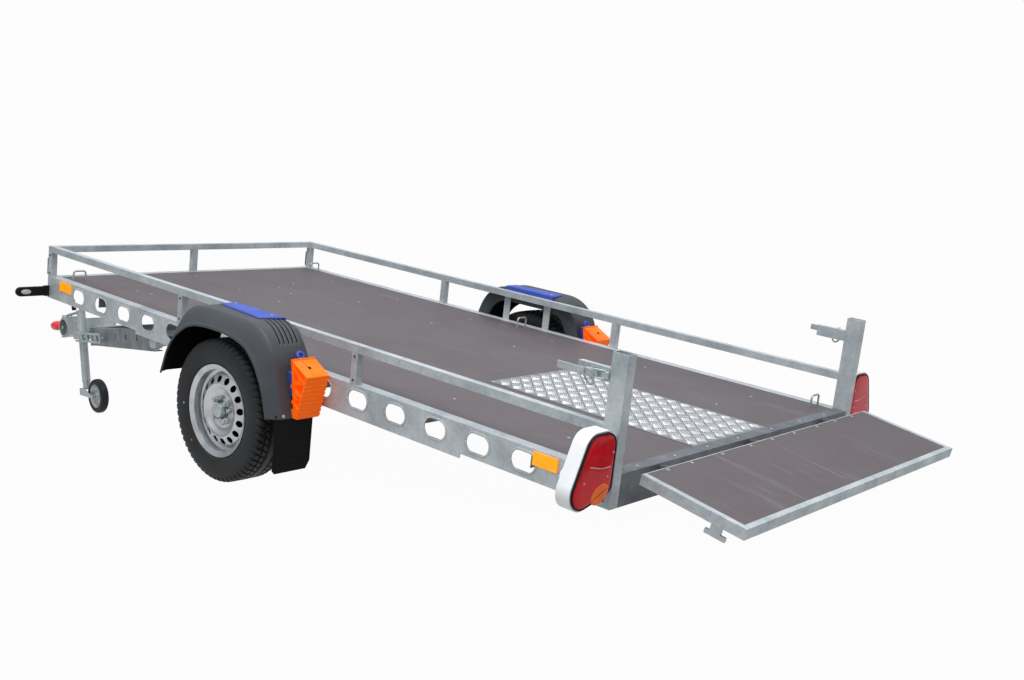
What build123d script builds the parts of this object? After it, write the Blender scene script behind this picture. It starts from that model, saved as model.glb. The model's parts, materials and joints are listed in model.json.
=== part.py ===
from build123d import *
import math
import os

os.makedirs("parts", exist_ok=True)

# Motorcycle trailer with a tipping bed, millimetres, +X forward, +Y left, +Z up, floor at zero.
# Two slanted frames carry most pieces. In the bed frame x is 0 at the bed's front end and
# grows forward, z is 0 at the top of the side sills. The drawbar frame has the same numbers
# for a closed, level bed, and is opened about the bed pivot by the two angles below.

# Attitude
BED_RISE = 10.8            # degrees, nose of the tipped bed above level
DRAWBAR_DROP = 2.1         # degrees, nose of the drawbar below level

# Wheels
TYRE_RADIUS = 281.0
TYRE_WIDTH = 165.0
WHEEL_OUT = 109.0          # centre plane of a wheel outside the sills
AXLE_BACK = 1702.0         # axle behind the bed's front end
AXLE_BELOW = 223.0         # axle below the sill top

# Bed
BED_LENGTH = 3450.0
BED_HALF = 808.0           # half width over the sills
SILL_HEIGHT = 105.0
SILL_WALL = 3.0
SILL_FLANGE = 48.0
HOLE_PITCH = 200.0
HOLE_FIRST = 298.0
HOLE_COUNT = 16
HOLE_LENGTH = 102.0
HOLE_HEIGHT = 66.0
DECK_THICK = 9.0
DECK_GAP = 1.0
BEAM_DEPTH = 66.0          # front beam and cross members
MEMBER_WIDTH = 40.0
MEMBER_COUNT = 6
MEMBER_FIRST = 480.0       # first member behind the front end
MEMBER_LAST = 320.0        # last member ahead of the rear end
CROSSBAR_WIDTH = 50.0
CROSSBAR_THICK = 3.0
LOWER_RAIL_AHEAD = 897.0   # ends of the lower rails ahead of the axle and behind it
LOWER_RAIL_BEHIND = 1122.0
LOWER_RAIL_HEIGHT = 16.0

# Tread plate
TREAD_LONG = 939.0
TREAD_LEFT = 283.0
TREAD_RIGHT = -204.0
TREAD_THICK = 2.5

# Guard rails and posts
RAIL = 30.0                # square tube
RAIL_TOP = 148.0
RAIL_WALL = 2.0
POST_PITCH = 1125.0
REAR_POST_LONG = 60.0
REAR_POST_WIDE = 40.0
REAR_POST_TOP = 373.0
REAR_POST_WALL = 3.0
STUB_LONG = 126.0
STUB_TOP = 319.0
STUB_TALL = 42.0
STUB_THICK = 22.0

# Ramp
RAMP_LENGTH = 370.0
RAMP_TILT = 8.35           # degrees below the bed
RAMP_FRAME = 33.0          # depth of the angle frame
RAMP_WALL = 3.0
RAMP_FLANGE = 22.0
RAMP_PLY = 9.0
RAMP_BACK = 71.5           # front edge of the ramp behind the bed's end
RAMP_UP = 23.3             # its top edge above the sill top
HINGE_BACK = 42.0          # hinge pin behind the bed's end
HINGE_DOWN = 8.0           # hinge pin below the sill top
HINGE_PIN = 6.0            # radius
RUNNING = 0.05             # radial clearance of pins
HINGE_PLACES = (-560.0, 0.0, 560.0)
HINGE_LUG = 8.0            # thickness of each lug
HINGE_SIDE = 1.0           # side play between lugs

# Drawbar, in its own frame
PIVOT_BACK = 930.0
PIVOT_BELOW = 135.0
PIVOT_RADIUS = 21.0
PIVOT_PIN = 14.0
ARM_TOP = -82.0
ARM_HEIGHT = 102.0
ARM_THICK = 4.0
ARM_FLANGE = 36.0
NOSE_REAR = 830.0
NOSE_FRONT = 1215.0
NOSE_HALF = 36.0
NOSE_TOP = -24.0
NOSE_BOTTOM = -150.0
HEAD_TOP = -9.0
HEAD_BOTTOM = -136.0
HEAD_HALF = 38.0
GRIP_REAR = 1436.0
GRIP_FRONT = 1535.0
GRIP_MIDDLE = -62.0
GRIP_RADIUS = 30.0
BALL_X = 1350.0
HEAD_FRONT = BALL_X + HEAD_HALF     # the head is round about the ball
BALL_RADIUS = 25.0
BALL_CLEAR = 0.4
SOCKET_DEPTH = 34.0

# Jockey
JOCKEY_X = 980.0
JOCKEY_Y = 100.0
JOCKEY_TUBE = 24.0         # outer tube radius
JOCKEY_LEG = 21.0          # inner tube radius
JOCKEY_WHEEL = 100.0
JOCKEY_WHEEL_WIDE = 46.0
JOCKEY_TRAIL = 145.0
JOCKEY_TURN = -4.0         # degrees the wheel is swivelled from straight
TREAD_EDGE = 7.0


def turn_about(pivot, point, degrees):
    """An x, z point turned nose up about a pivot."""
    c = math.cos(math.radians(degrees))
    s = math.sin(math.radians(degrees))
    dx = point[0] - pivot[0]
    dz = point[1] - pivot[1]
    return (pivot[0] + dx * c - dz * s, pivot[1] + dx * s + dz * c)


# The frames, first from the axle, then shifted so that the box is centred on the origin
axle = (-AXLE_BACK, -AXLE_BELOW)


def bed_from_axle(x, z):
    """Bed point to the level frame, x from the axle and z from the floor."""
    px, pz = turn_about(axle, (x, z), BED_RISE)
    return (px - axle[0], pz - axle[1] + TYRE_RADIUS)


pivot_level = bed_from_axle(-PIVOT_BACK, -PIVOT_BELOW)


def drawbar_from_axle(x, z):
    """Drawbar point to the level frame."""
    px, pz = turn_about((-PIVOT_BACK, -PIVOT_BELOW), (x, z), -DRAWBAR_DROP)
    return (px + PIVOT_BACK + pivot_level[0], pz + PIVOT_BELOW + pivot_level[1])


ramp_angle = math.radians(RAMP_TILT)
ramp_end_x = -BED_LENGTH - RAMP_BACK - RAMP_LENGTH * math.cos(ramp_angle)
ramp_end_z = RAMP_UP - RAMP_LENGTH * math.sin(ramp_angle)
ramp_low_x = ramp_end_x + RAMP_FRAME * math.sin(ramp_angle)
ramp_low_z = ramp_end_z - RAMP_FRAME * math.cos(ramp_angle)
front_reach = drawbar_from_axle(GRIP_FRONT, GRIP_MIDDLE + GRIP_RADIUS)[0]
rear_reach = min(bed_from_axle(ramp_end_x, ramp_end_z)[0], bed_from_axle(ramp_low_x, ramp_low_z)[0])
SHIFT = -(front_reach + rear_reach) / 2


def slanted(from_axle, rise):
    """The plane of a slanted frame, its x forward and z up."""
    x, z = from_axle(0, 0)
    angle = math.radians(rise)
    forward = (math.cos(angle), 0, math.sin(angle))
    upward = (-math.sin(angle), 0, math.cos(angle))
    return Plane(origin=(x + SHIFT, 0, z), x_dir=forward, z_dir=upward)


BED = slanted(bed_from_axle, BED_RISE)
DRAW = slanted(drawbar_from_axle, -DRAWBAR_DROP)
LEVEL = Plane(origin=(SHIFT, 0, 0), x_dir=(1, 0, 0), z_dir=(0, 0, 1))
ramp_origin = BED.from_local_coords((-BED_LENGTH - RAMP_BACK, 0, RAMP_UP))
ramp_rise = math.radians(BED_RISE + RAMP_TILT)
RAMP = Plane(
    origin=ramp_origin,
    x_dir=(math.cos(ramp_rise), 0, math.sin(ramp_rise)),
    z_dir=(-math.sin(ramp_rise), 0, math.cos(ramp_rise)),
)


def side(frame, y):
    """Plane seen from the right side, x forward and y up, extruding towards the right."""
    return Plane(origin=frame.from_local_coords((0, y, 0)), x_dir=frame.x_dir, z_dir=-frame.y_dir)


def across(frame, x):
    """Plane seen from the front, x to the left and y up, extruding forward."""
    return Plane(origin=frame.from_local_coords((x, 0, 0)), x_dir=frame.y_dir, z_dir=frame.x_dir)


def bar(frame, x, y, z, mode=Mode.ADD):
    """A block between two x, two y and two z values of a frame."""
    with BuildSketch(frame.offset(z[0])) as outline:
        with Locations(((x[0] + x[1]) / 2, (y[0] + y[1]) / 2)):
            Rectangle(x[1] - x[0], y[1] - y[0])
    extrude(outline.sketch, amount=z[1] - z[0], mode=mode)


def both(sign, a, b):
    """A y range given for the left side, on the side of the sign."""
    return (a, b) if sign > 0 else (-b, -a)


def save(builder, name):
    builder.part.label = name
    export_step(builder.part, "parts/" + name + ".step")


SIDES = (("left", 1), ("right", -1))
web_inner = BED_HALF - SILL_WALL
flange_inner = BED_HALF - SILL_FLANGE
post_front = -BED_LENGTH + REAR_POST_LONG
post_inner = BED_HALF - REAR_POST_WIDE
ramp_half = post_inner
wheel_middle = BED_HALF + WHEEL_OUT
rail_front = -AXLE_BACK + LOWER_RAIL_AHEAD
rail_rear = -AXLE_BACK - LOWER_RAIL_BEHIND
member_pitch = (BED_LENGTH - MEMBER_FIRST - MEMBER_LAST) / (MEMBER_COUNT - 1)
hole_places = [-HOLE_FIRST - i * HOLE_PITCH for i in range(HOLE_COUNT)]

# Side sills, channels with a row of long holes
for word, sign in SIDES:
    with BuildPart() as sill:
        bar(BED, (post_front, 0), both(sign, web_inner, BED_HALF), (-SILL_HEIGHT, 0))
        bar(BED, (post_front, 0), both(sign, flange_inner, web_inner), (-SILL_WALL, 0))
        bar(BED, (post_front, 0), both(sign, flange_inner, web_inner),
            (-SILL_HEIGHT, -SILL_HEIGHT + SILL_WALL))
        with BuildSketch(side(BED, sign * BED_HALF + BED_HALF / 2)):
            with Locations([(x, -SILL_HEIGHT / 2) for x in hole_places if x > post_front + HOLE_LENGTH / 2]):
                SlotOverall(HOLE_LENGTH, HOLE_HEIGHT)
        extrude(amount=BED_HALF, mode=Mode.SUBTRACT)
    save(sill, "sill_" + word)

# Front beam, its top flange between the sill flanges
with BuildPart() as front_beam:
    bar(BED, (-SILL_WALL, 0), (-web_inner, web_inner), (-BEAM_DEPTH, -SILL_WALL))
    bar(BED, (-MEMBER_WIDTH, 0), (-flange_inner, flange_inner), (-SILL_WALL, 0))
save(front_beam, "front_beam")

# Rear beam between the posts, its top flange laid over the deck's end, with the hinge lugs
hinge_x = -BED_LENGTH - HINGE_BACK
hinge_z = -HINGE_DOWN
lug_round = HINGE_PIN + 7
with BuildPart() as rear_beam:
    bar(BED, (-BED_LENGTH, -BED_LENGTH + SILL_WALL), (-post_inner, post_inner),
        (-SILL_HEIGHT, CROSSBAR_THICK))
    bar(BED, (-BED_LENGTH, -BED_LENGTH + CROSSBAR_WIDTH), (-post_inner, post_inner), (0, CROSSBAR_THICK))
    for y in HINGE_PLACES:
        with BuildSketch(side(BED, y + HINGE_LUG / 2)):
            with Locations((hinge_x, hinge_z)):
                Circle(lug_round)
            with BuildLine():
                Polyline((hinge_x, hinge_z + lug_round), (-BED_LENGTH, -SILL_WALL),
                         (-BED_LENGTH, -SILL_HEIGHT / 2), (hinge_x, hinge_z - lug_round), close=True)
            make_face()
        extrude(amount=HINGE_LUG)
        with BuildSketch(side(BED, y + HINGE_LUG * 1.5 + HINGE_SIDE)):
            with Locations((hinge_x, hinge_z)):
                Circle(HINGE_PIN)
        extrude(amount=HINGE_LUG * 3 + HINGE_SIDE * 2)
save(rear_beam, "rear_beam")

# Cross members under the deck
member_top = -DECK_THICK
with BuildPart() as cross_members:
    for i in range(MEMBER_COUNT):
        x = -MEMBER_FIRST - i * member_pitch
        bar(BED, (x, x + SILL_WALL), (-web_inner, web_inner), (-BEAM_DEPTH, member_top))
        bar(BED, (x, x + MEMBER_WIDTH), (-flange_inner, flange_inner), (member_top - SILL_WALL, member_top))
save(cross_members, "cross_members")

# Lower rails, angles under the sills that carry the axle
rail_low = -SILL_HEIGHT - LOWER_RAIL_HEIGHT
with BuildPart() as lower_rails:
    for word, sign in SIDES:
        bar(BED, (rail_rear, rail_front), both(sign, flange_inner, BED_HALF),
            (-SILL_HEIGHT - SILL_WALL, -SILL_HEIGHT))
        bar(BED, (rail_rear, rail_front), both(sign, web_inner, BED_HALF),
            (rail_low, -SILL_HEIGHT - SILL_WALL))
save(lower_rails, "lower_rails")

# Deck board and tread plate
deck_side = flange_inner - DECK_GAP
with BuildPart() as deck_panel:
    bar(BED, (-BED_LENGTH + SILL_WALL, -MEMBER_WIDTH - DECK_GAP), (-deck_side, deck_side), (-DECK_THICK, 0))
save(deck_panel, "deck_panel")

with BuildPart() as tread_plate:
    tread_rear = -BED_LENGTH + CROSSBAR_WIDTH
    bar(BED, (tread_rear, tread_rear + TREAD_LONG), (TREAD_RIGHT, TREAD_LEFT), (0, TREAD_THICK))
save(tread_plate, "tread_plate")

# Guard rails of square tube
rail_under = RAIL_TOP - RAIL
for word, sign in SIDES:
    with BuildPart() as guard:
        bar(BED, (post_front, 0), both(sign, BED_HALF - RAIL, BED_HALF), (rail_under, RAIL_TOP))
    save(guard, "guard_rail_" + word)

with BuildPart() as guard_front:
    bar(BED, (-RAIL, 0), (-BED_HALF + RAIL, BED_HALF - RAIL), (rail_under, RAIL_TOP))
save(guard_front, "guard_rail_front")

with BuildPart() as rail_posts:
    for word, sign in SIDES:
        for i in range(3):
            bar(BED, (-RAIL - i * POST_PITCH, -i * POST_PITCH), both(sign, BED_HALF - RAIL, BED_HALF),
                (0, rail_under))
    bar(BED, (-RAIL, 0), (-RAIL / 2, RAIL / 2), (0, rail_under))
save(rail_posts, "rail_posts")

# Rear posts, open at the top, with a stub bar that carries the latch
stub_outer = BED_HALF - 6
for word, sign in SIDES:
    with BuildPart() as post:
        bar(BED, (-BED_LENGTH, post_front), both(sign, post_inner, BED_HALF), (-SILL_HEIGHT, REAR_POST_TOP))
        bar(BED, (-BED_LENGTH + REAR_POST_WALL, post_front - REAR_POST_WALL),
            both(sign, post_inner + REAR_POST_WALL, BED_HALF - REAR_POST_WALL),
            (REAR_POST_TOP - 60, REAR_POST_TOP), mode=Mode.SUBTRACT)
        bar(BED, (post_front, post_front + STUB_LONG), both(sign, stub_outer - STUB_THICK, stub_outer),
            (STUB_TOP - STUB_TALL, STUB_TOP))
    save(post, "rear_post_" + word)

# Toggle latches on the outer faces of the stubs
latch_z = STUB_TOP - STUB_TALL / 2
with BuildPart() as toggle_latches:
    for word, sign in SIDES:
        bar(BED, (post_front + 8, post_front + 78), both(sign, stub_outer, stub_outer + 6),
            (latch_z - 14, latch_z + 14))
        bar(BED, (post_front + 40, post_front + 74), both(sign, stub_outer + 6, stub_outer + 30),
            (latch_z - 12, latch_z + 12))
        bar(BED, (post_front + 74, post_front + 176), both(sign, stub_outer + 22, stub_outer + 30),
            (latch_z - 12, latch_z + 12))
save(toggle_latches, "toggle_latches")

# Tie-down loops that stand on the flange's edge
LOOP_PLACES = (148.0, 1750.0, BED_LENGTH - 120.0)
LOOP_WIDE = 62.0
LOOP_TALL = 46.0
LOOP_ROD = 4.0
LOOP_MIDDLE = BED_HALF - 84.0
with BuildPart() as tie_down_loops:
    for word, sign in SIDES:
        for back in LOOP_PLACES:
            y0 = sign * LOOP_MIDDLE
            foot = 0.0
            corner = LOOP_WIDE / 2
            with BuildLine(across(BED, -back)) as path:
                FilletPolyline((y0 - corner, foot), (y0 - corner, LOOP_TALL), (y0 + corner, LOOP_TALL),
                               (y0 + corner, foot), radius=14)
            with BuildSketch(Plane(path.line @ 0, z_dir=path.line % 0)):
                Circle(LOOP_ROD)
            sweep(path=path.line)
save(tie_down_loops, "tie_down_loops")

# Reflectors
SIDE_REFLECTOR = (100.0, 44.0, 6.0)
REFLECTOR_FIRST = 178.0
REFLECTOR_LAST = 260.0
with BuildPart() as side_reflectors:
    for word, sign in SIDES:
        for x in (-REFLECTOR_FIRST, -BED_LENGTH + REFLECTOR_LAST):
            bar(BED, (x - SIDE_REFLECTOR[0] / 2, x + SIDE_REFLECTOR[0] / 2),
                both(sign, BED_HALF, BED_HALF + SIDE_REFLECTOR[2]), (-50, -50 + SIDE_REFLECTOR[1]))
save(side_reflectors, "side_reflectors")

with BuildPart() as front_reflectors:
    for word, sign in SIDES:
        bar(BED, (0, 8), both(sign, BED_HALF - RAIL, BED_HALF), (8, 88))
save(front_reflectors, "front_reflectors")

# Rubber arms of the front marker lamps
MARKER_LONG = 163.0
with BuildPart() as marker_arms:
    for word, sign in SIDES:
        with BuildSketch(across(BED, -18)):
            with Locations((sign * (BED_HALF + MARKER_LONG / 2), -72)):
                SlotOverall(MARKER_LONG, 44)
            with Locations((sign * (BED_HALF + 12), -72)):
                Rectangle(24, 50)
        extrude(amount=16)
save(marker_arms, "marker_arms")

# Fenders, a moulded arch over each wheel, lofted to a lower outer lip
FENDER_INNER = BED_HALF + 4.0
FENDER_SHOULDER = BED_HALF + 177.0
FENDER_LIP = BED_HALF + 214.0
FENDER_WALL = 4.0
FENDER_FOOT = 76.0
SKIRT = 75.0
# half profiles, x and z from the axle, from the foot to the top
FENDER_MAIN = ((378.0, FENDER_FOOT), (300.0, 300.0), (190.0, 385.0))
FENDER_EDGE = ((357.0, FENDER_FOOT), (268.0, 262.0), (165.0, 330.0))


def arch(half, inset, drop):
    """Closed arch outline from a half profile, moved inwards by the inset."""
    dx, dz = -AXLE_BACK, -AXLE_BELOW
    (x0, z0), (x1, z1), (x2, z2) = half
    x0, x1, x2 = x0 - inset, x1 - inset, x2 - inset * 0.5
    z1, z2 = z1 - inset * 0.5, z2 - inset
    outline = [(x0, z0 - drop), (x1, z1), (x2, z2), (-x2, z2), (-x1, z1), (-x0, z0 - drop)]
    placed = [(x + dx, z + dz) for x, z in outline]
    FilletPolyline(*placed, radius=85)
    Line(placed[-1], placed[0])


for word, sign in SIDES:
    with BuildPart() as fender:
        for inset, drop, mode in ((0.0, 0.0, Mode.ADD), (FENDER_WALL, 20.0, Mode.SUBTRACT)):
            inner = FENDER_INNER + (FENDER_WALL if inset else 0)
            for half_a, y_a, half_b, y_b in (
                (FENDER_MAIN, inner, FENDER_MAIN, FENDER_SHOULDER),
                (FENDER_MAIN, FENDER_SHOULDER, FENDER_EDGE, FENDER_LIP),
            ):
                with BuildSketch(side(BED, sign * y_a)) as face_a:
                    with BuildLine():
                        arch(half_a, inset, drop)
                    make_face()
                with BuildSketch(side(BED, sign * y_b)) as face_b:
                    with BuildLine():
                        arch(half_b, inset, drop)
                    make_face()
                loft(ruled=True, mode=mode)
        # opening through the inner wall
        with BuildSketch(side(BED, sign * FENDER_INNER + FENDER_INNER / 2)):
            with BuildLine():
                arch(FENDER_MAIN, SKIRT, 20.0)
            make_face()
        extrude(amount=FENDER_INNER, mode=Mode.SUBTRACT)
        # inner flange at the rear foot, where the flap hangs
        foot_z = -AXLE_BELOW + FENDER_FOOT
        bar(BED, (-AXLE_BACK - 374, -AXLE_BACK - 356), both(sign, FENDER_INNER + 1, FENDER_SHOULDER),
            (foot_z, foot_z + FENDER_WALL))
    save(fender, "fender_" + word)

# Brackets that hold the fenders to the sills
with BuildPart() as fender_brackets:
    for word, sign in SIDES:
        for x in (-AXLE_BACK - 130, -AXLE_BACK + 130):
            bar(BED, (x - 20, x + 20), both(sign, BED_HALF, FENDER_INNER), (-SILL_HEIGHT + 6, RAIL_TOP))
save(fender_brackets, "fender_brackets")

# Pads on the fender tops
PAD_FRONT = 130.0
PAD_REAR = -165.0
PAD_OUTER = BED_HALF + 137.0
fender_top = -AXLE_BELOW + FENDER_MAIN[2][1]
with BuildPart() as fender_pads:
    for word, sign in SIDES:
        bar(BED, (-AXLE_BACK + PAD_REAR, -AXLE_BACK + PAD_FRONT), both(sign, FENDER_INNER, PAD_OUTER),
            (fender_top, fender_top + 4))
save(fender_pads, "fender_pads")

# Mudflaps
FLAP_INNER = FENDER_INNER + 8.0
FLAP_OUTER = FENDER_SHOULDER + 10.0
FLAP_BEHIND = FENDER_MAIN[0][0] - 10.0
FLAP_THICK = 4.0
FLAP_LOW = 150.0
with BuildPart() as mudflaps:
    for word, sign in SIDES:
        bar(BED, (-AXLE_BACK - FLAP_BEHIND - FLAP_THICK, -AXLE_BACK - FLAP_BEHIND),
            both(sign, FLAP_INNER, FLAP_OUTER), (-AXLE_BELOW - FLAP_LOW, foot_z))
save(mudflaps, "mudflaps")

# Chock holders and wheel chocks on the fender's rear wall
CHOCK_INNER = FENDER_INNER + 10.0
CHOCK_OUTER = CHOCK_INNER + 105.0
# side outline from the axle: front top, rear top, rear foot, front foot
CHOCK_SIDE = ((-352.0, 279.0), (-446.0, 233.0), (-406.0, 62.0), (-390.0, 62.0))
HOLDER_LOW = 100.0
HOLDER_HIGH = 230.0


def rear_wall(z):
    """Fender rear face, x from the axle, at a height above the axle."""
    (x0, z0), (x1, z1) = FENDER_MAIN[0], FENDER_MAIN[1]
    return -(x0 + (x1 - x0) * (z - z0) / (z1 - z0))


def chock_front(z):
    """Front face of a chock, x from the axle, at a height above the axle."""
    (x0, z0), (x1, z1) = CHOCK_SIDE[3], CHOCK_SIDE[0]
    return x0 + (x1 - x0) * (z - z0) / (z1 - z0)


with BuildPart() as chock_holders:
    for word, sign in SIDES:
        with BuildSketch(side(BED, max(sign * (CHOCK_INNER + 20), sign * (CHOCK_OUTER - 20)))):
            with BuildLine():
                Polyline((-AXLE_BACK + rear_wall(HOLDER_HIGH), -AXLE_BELOW + HOLDER_HIGH),
                         (-AXLE_BACK + rear_wall(HOLDER_LOW), -AXLE_BELOW + HOLDER_LOW),
                         (-AXLE_BACK + chock_front(HOLDER_LOW), -AXLE_BELOW + HOLDER_LOW),
                         (-AXLE_BACK + chock_front(HOLDER_HIGH), -AXLE_BELOW + HOLDER_HIGH), close=True)
            make_face()
        extrude(amount=CHOCK_OUTER - CHOCK_INNER - 40)
save(chock_holders, "chock_holders")

with BuildPart() as wheel_chocks:
    for word, sign in SIDES:
        with BuildSketch(side(BED, max(sign * CHOCK_INNER, sign * CHOCK_OUTER))):
            with BuildLine():
                Polyline(*[(x - AXLE_BACK, z - AXLE_BELOW) for x, z in CHOCK_SIDE], close=True)
            make_face()
        extrude(amount=CHOCK_OUTER - CHOCK_INNER)
save(wheel_chocks, "wheel_chocks")

# Tail lamps, drop shaped housings beside the posts
LAMP_BASE = -BED_LENGTH + 10
LAMP_DEPTH = 52.0
LENS_PROUD = 10.0
LENS_PLAY = 0.4
# outline of the lens: each circle's centre outside the sill, its height and its radius
LAMP_CIRCLES = ((48.0, 96.0, 48.0), (90.0, 92.0, 52.0), (37.0, -20.0, 37.0), (137.0, -28.0, 53.0))
HOUSING_WALL = 5.0
INDICATOR = (BED_HALF + 60.0, -43.0)
INDICATOR_HALF = (42.0, 27.0)
INDICATOR_DEPTH = 8.0


def drop(sign, grow):
    """Drop outline, the hull of the circles."""
    for out, z, radius in LAMP_CIRCLES:
        with Locations((sign * (BED_HALF + out), z)):
            Circle(radius + grow)
    make_hull()


with BuildPart() as tail_lamp_housings:
    for word, sign in SIDES:
        with BuildSketch(across(BED, LAMP_BASE)):
            drop(sign, HOUSING_WALL)
        extrude(amount=LAMP_DEPTH)
        with BuildSketch(across(BED, LAMP_BASE)):
            drop(sign, 0)
        extrude(amount=LAMP_DEPTH - HOUSING_WALL, mode=Mode.SUBTRACT)
    bar(BED, (-BED_LENGTH - 40, 0), (-BED_HALF - 0.5, BED_HALF + 0.5), (-300, 300), mode=Mode.SUBTRACT)
save(tail_lamp_housings, "tail_lamp_housings")

with BuildPart() as tail_lamp_lenses:
    for word, sign in SIDES:
        with BuildSketch(across(BED, LAMP_BASE - LENS_PROUD)):
            drop(sign, -LENS_PLAY)
        extrude(amount=LAMP_DEPTH - HOUSING_WALL + LENS_PROUD)
        with BuildSketch(across(BED, LAMP_BASE - LENS_PROUD)):
            with Locations((sign * INDICATOR[0], INDICATOR[1])):
                Ellipse(INDICATOR_HALF[0] + LENS_PLAY, INDICATOR_HALF[1] + LENS_PLAY)
        extrude(amount=INDICATOR_DEPTH, mode=Mode.SUBTRACT)
    bar(BED, (-BED_LENGTH - 40, 0), (-BED_HALF - 4, BED_HALF + 4), (-300, 300), mode=Mode.SUBTRACT)
save(tail_lamp_lenses, "tail_lamp_lenses")

with BuildPart() as indicator_lenses:
    for word, sign in SIDES:
        with BuildSketch(across(BED, LAMP_BASE - LENS_PROUD)):
            with Locations((sign * INDICATOR[0], INDICATOR[1])):
                Ellipse(*INDICATOR_HALF)
        extrude(amount=INDICATOR_DEPTH)
save(indicator_lenses, "indicator_lenses")

# Axle beam under the lower rails, and trailing arms with stub axles
BEAM_AHEAD = 120.0
BEAM_SIZE = 60.0
BEAM_HALF = BED_HALF - 28.0
beam_x = -AXLE_BACK + BEAM_AHEAD
beam_z = rail_low - BEAM_SIZE / 2
with BuildPart() as axle_beam:
    bar(BED, (beam_x - BEAM_SIZE / 2, beam_x + BEAM_SIZE / 2), (-BEAM_HALF, BEAM_HALF),
        (beam_z - BEAM_SIZE / 2, beam_z + BEAM_SIZE / 2))
    for word, sign in SIDES:
        bar(BED, (beam_x - 60, beam_x + 60), both(sign, flange_inner + 2, BEAM_HALF),
            (beam_z, -SILL_HEIGHT - SILL_WALL))
save(axle_beam, "axle_beam")

STUB_RADIUS = 16.0
HUB_INNER = wheel_middle - 91.0
with BuildPart() as swing_arms:
    for word, sign in SIDES:
        plane = side(BED, sign * BEAM_HALF if sign < 0 else BEAM_HALF + 34)
        with BuildSketch(plane):
            with Locations((beam_x, beam_z - 6)):
                Circle(34)
            with Locations((-AXLE_BACK, -AXLE_BELOW)):
                Circle(28)
            make_hull()
        extrude(amount=34)
        with BuildSketch(side(BED, sign * (BEAM_HALF + 30) if sign < 0 else wheel_middle - 10)):
            with Locations((-AXLE_BACK, -AXLE_BELOW)):
                Circle(STUB_RADIUS)
        extrude(amount=wheel_middle - 40 - BEAM_HALF)
save(swing_arms, "swing_arms")

# Wheels: y is measured outwards from the wheel's centre plane
SIDEWALL = 116.0
SEAT_DROP = 16.5
RIM_SEAT = TYRE_RADIUS - SIDEWALL
RIM_FLANGE = RIM_SEAT + SEAT_DROP
RIM_HALF = 74.0
WELL_DROP = 18.0
WELL = RIM_SEAT - WELL_DROP
DISC_EDGE = WELL - 4.0     # the disc is welded inside the barrel's well
HUB_FACE = 40.0            # hub's outer face from the wheel's centre plane
DISC_THICK = 4.0
DISC_ROUND = 72.0          # radius of the disc's flat middle
VENT_HOLES = 16
VENT_RADIUS = 13.5
BOLT_RING = 49.0
BEAD_GAP = 0.3             # tyre to rim


def disc(share):
    """Radius at a share of the way from the disc's flat middle to its edge."""
    return DISC_ROUND + share * (DISC_EDGE - DISC_ROUND)


VENT_RING = disc(0.71)


def wheel_plane(sign):
    """Plane through the axle for profiles: x outwards, y away from the axle."""
    x, z = bed_from_axle(-AXLE_BACK, -AXLE_BELOW)
    return Plane(origin=(x + SHIFT, sign * wheel_middle, z), x_dir=(0, sign, 0), z_dir=(sign, 0, 0))


def wheel_side(sign, out):
    """Plane across the axle, seen from outside, at a distance out from the wheel's centre plane."""
    x, z = bed_from_axle(-AXLE_BACK, -AXLE_BELOW)
    return Plane(origin=(x + SHIFT, sign * (wheel_middle + out), z), x_dir=(1, 0, 0), z_dir=(0, sign, 0))


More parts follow.
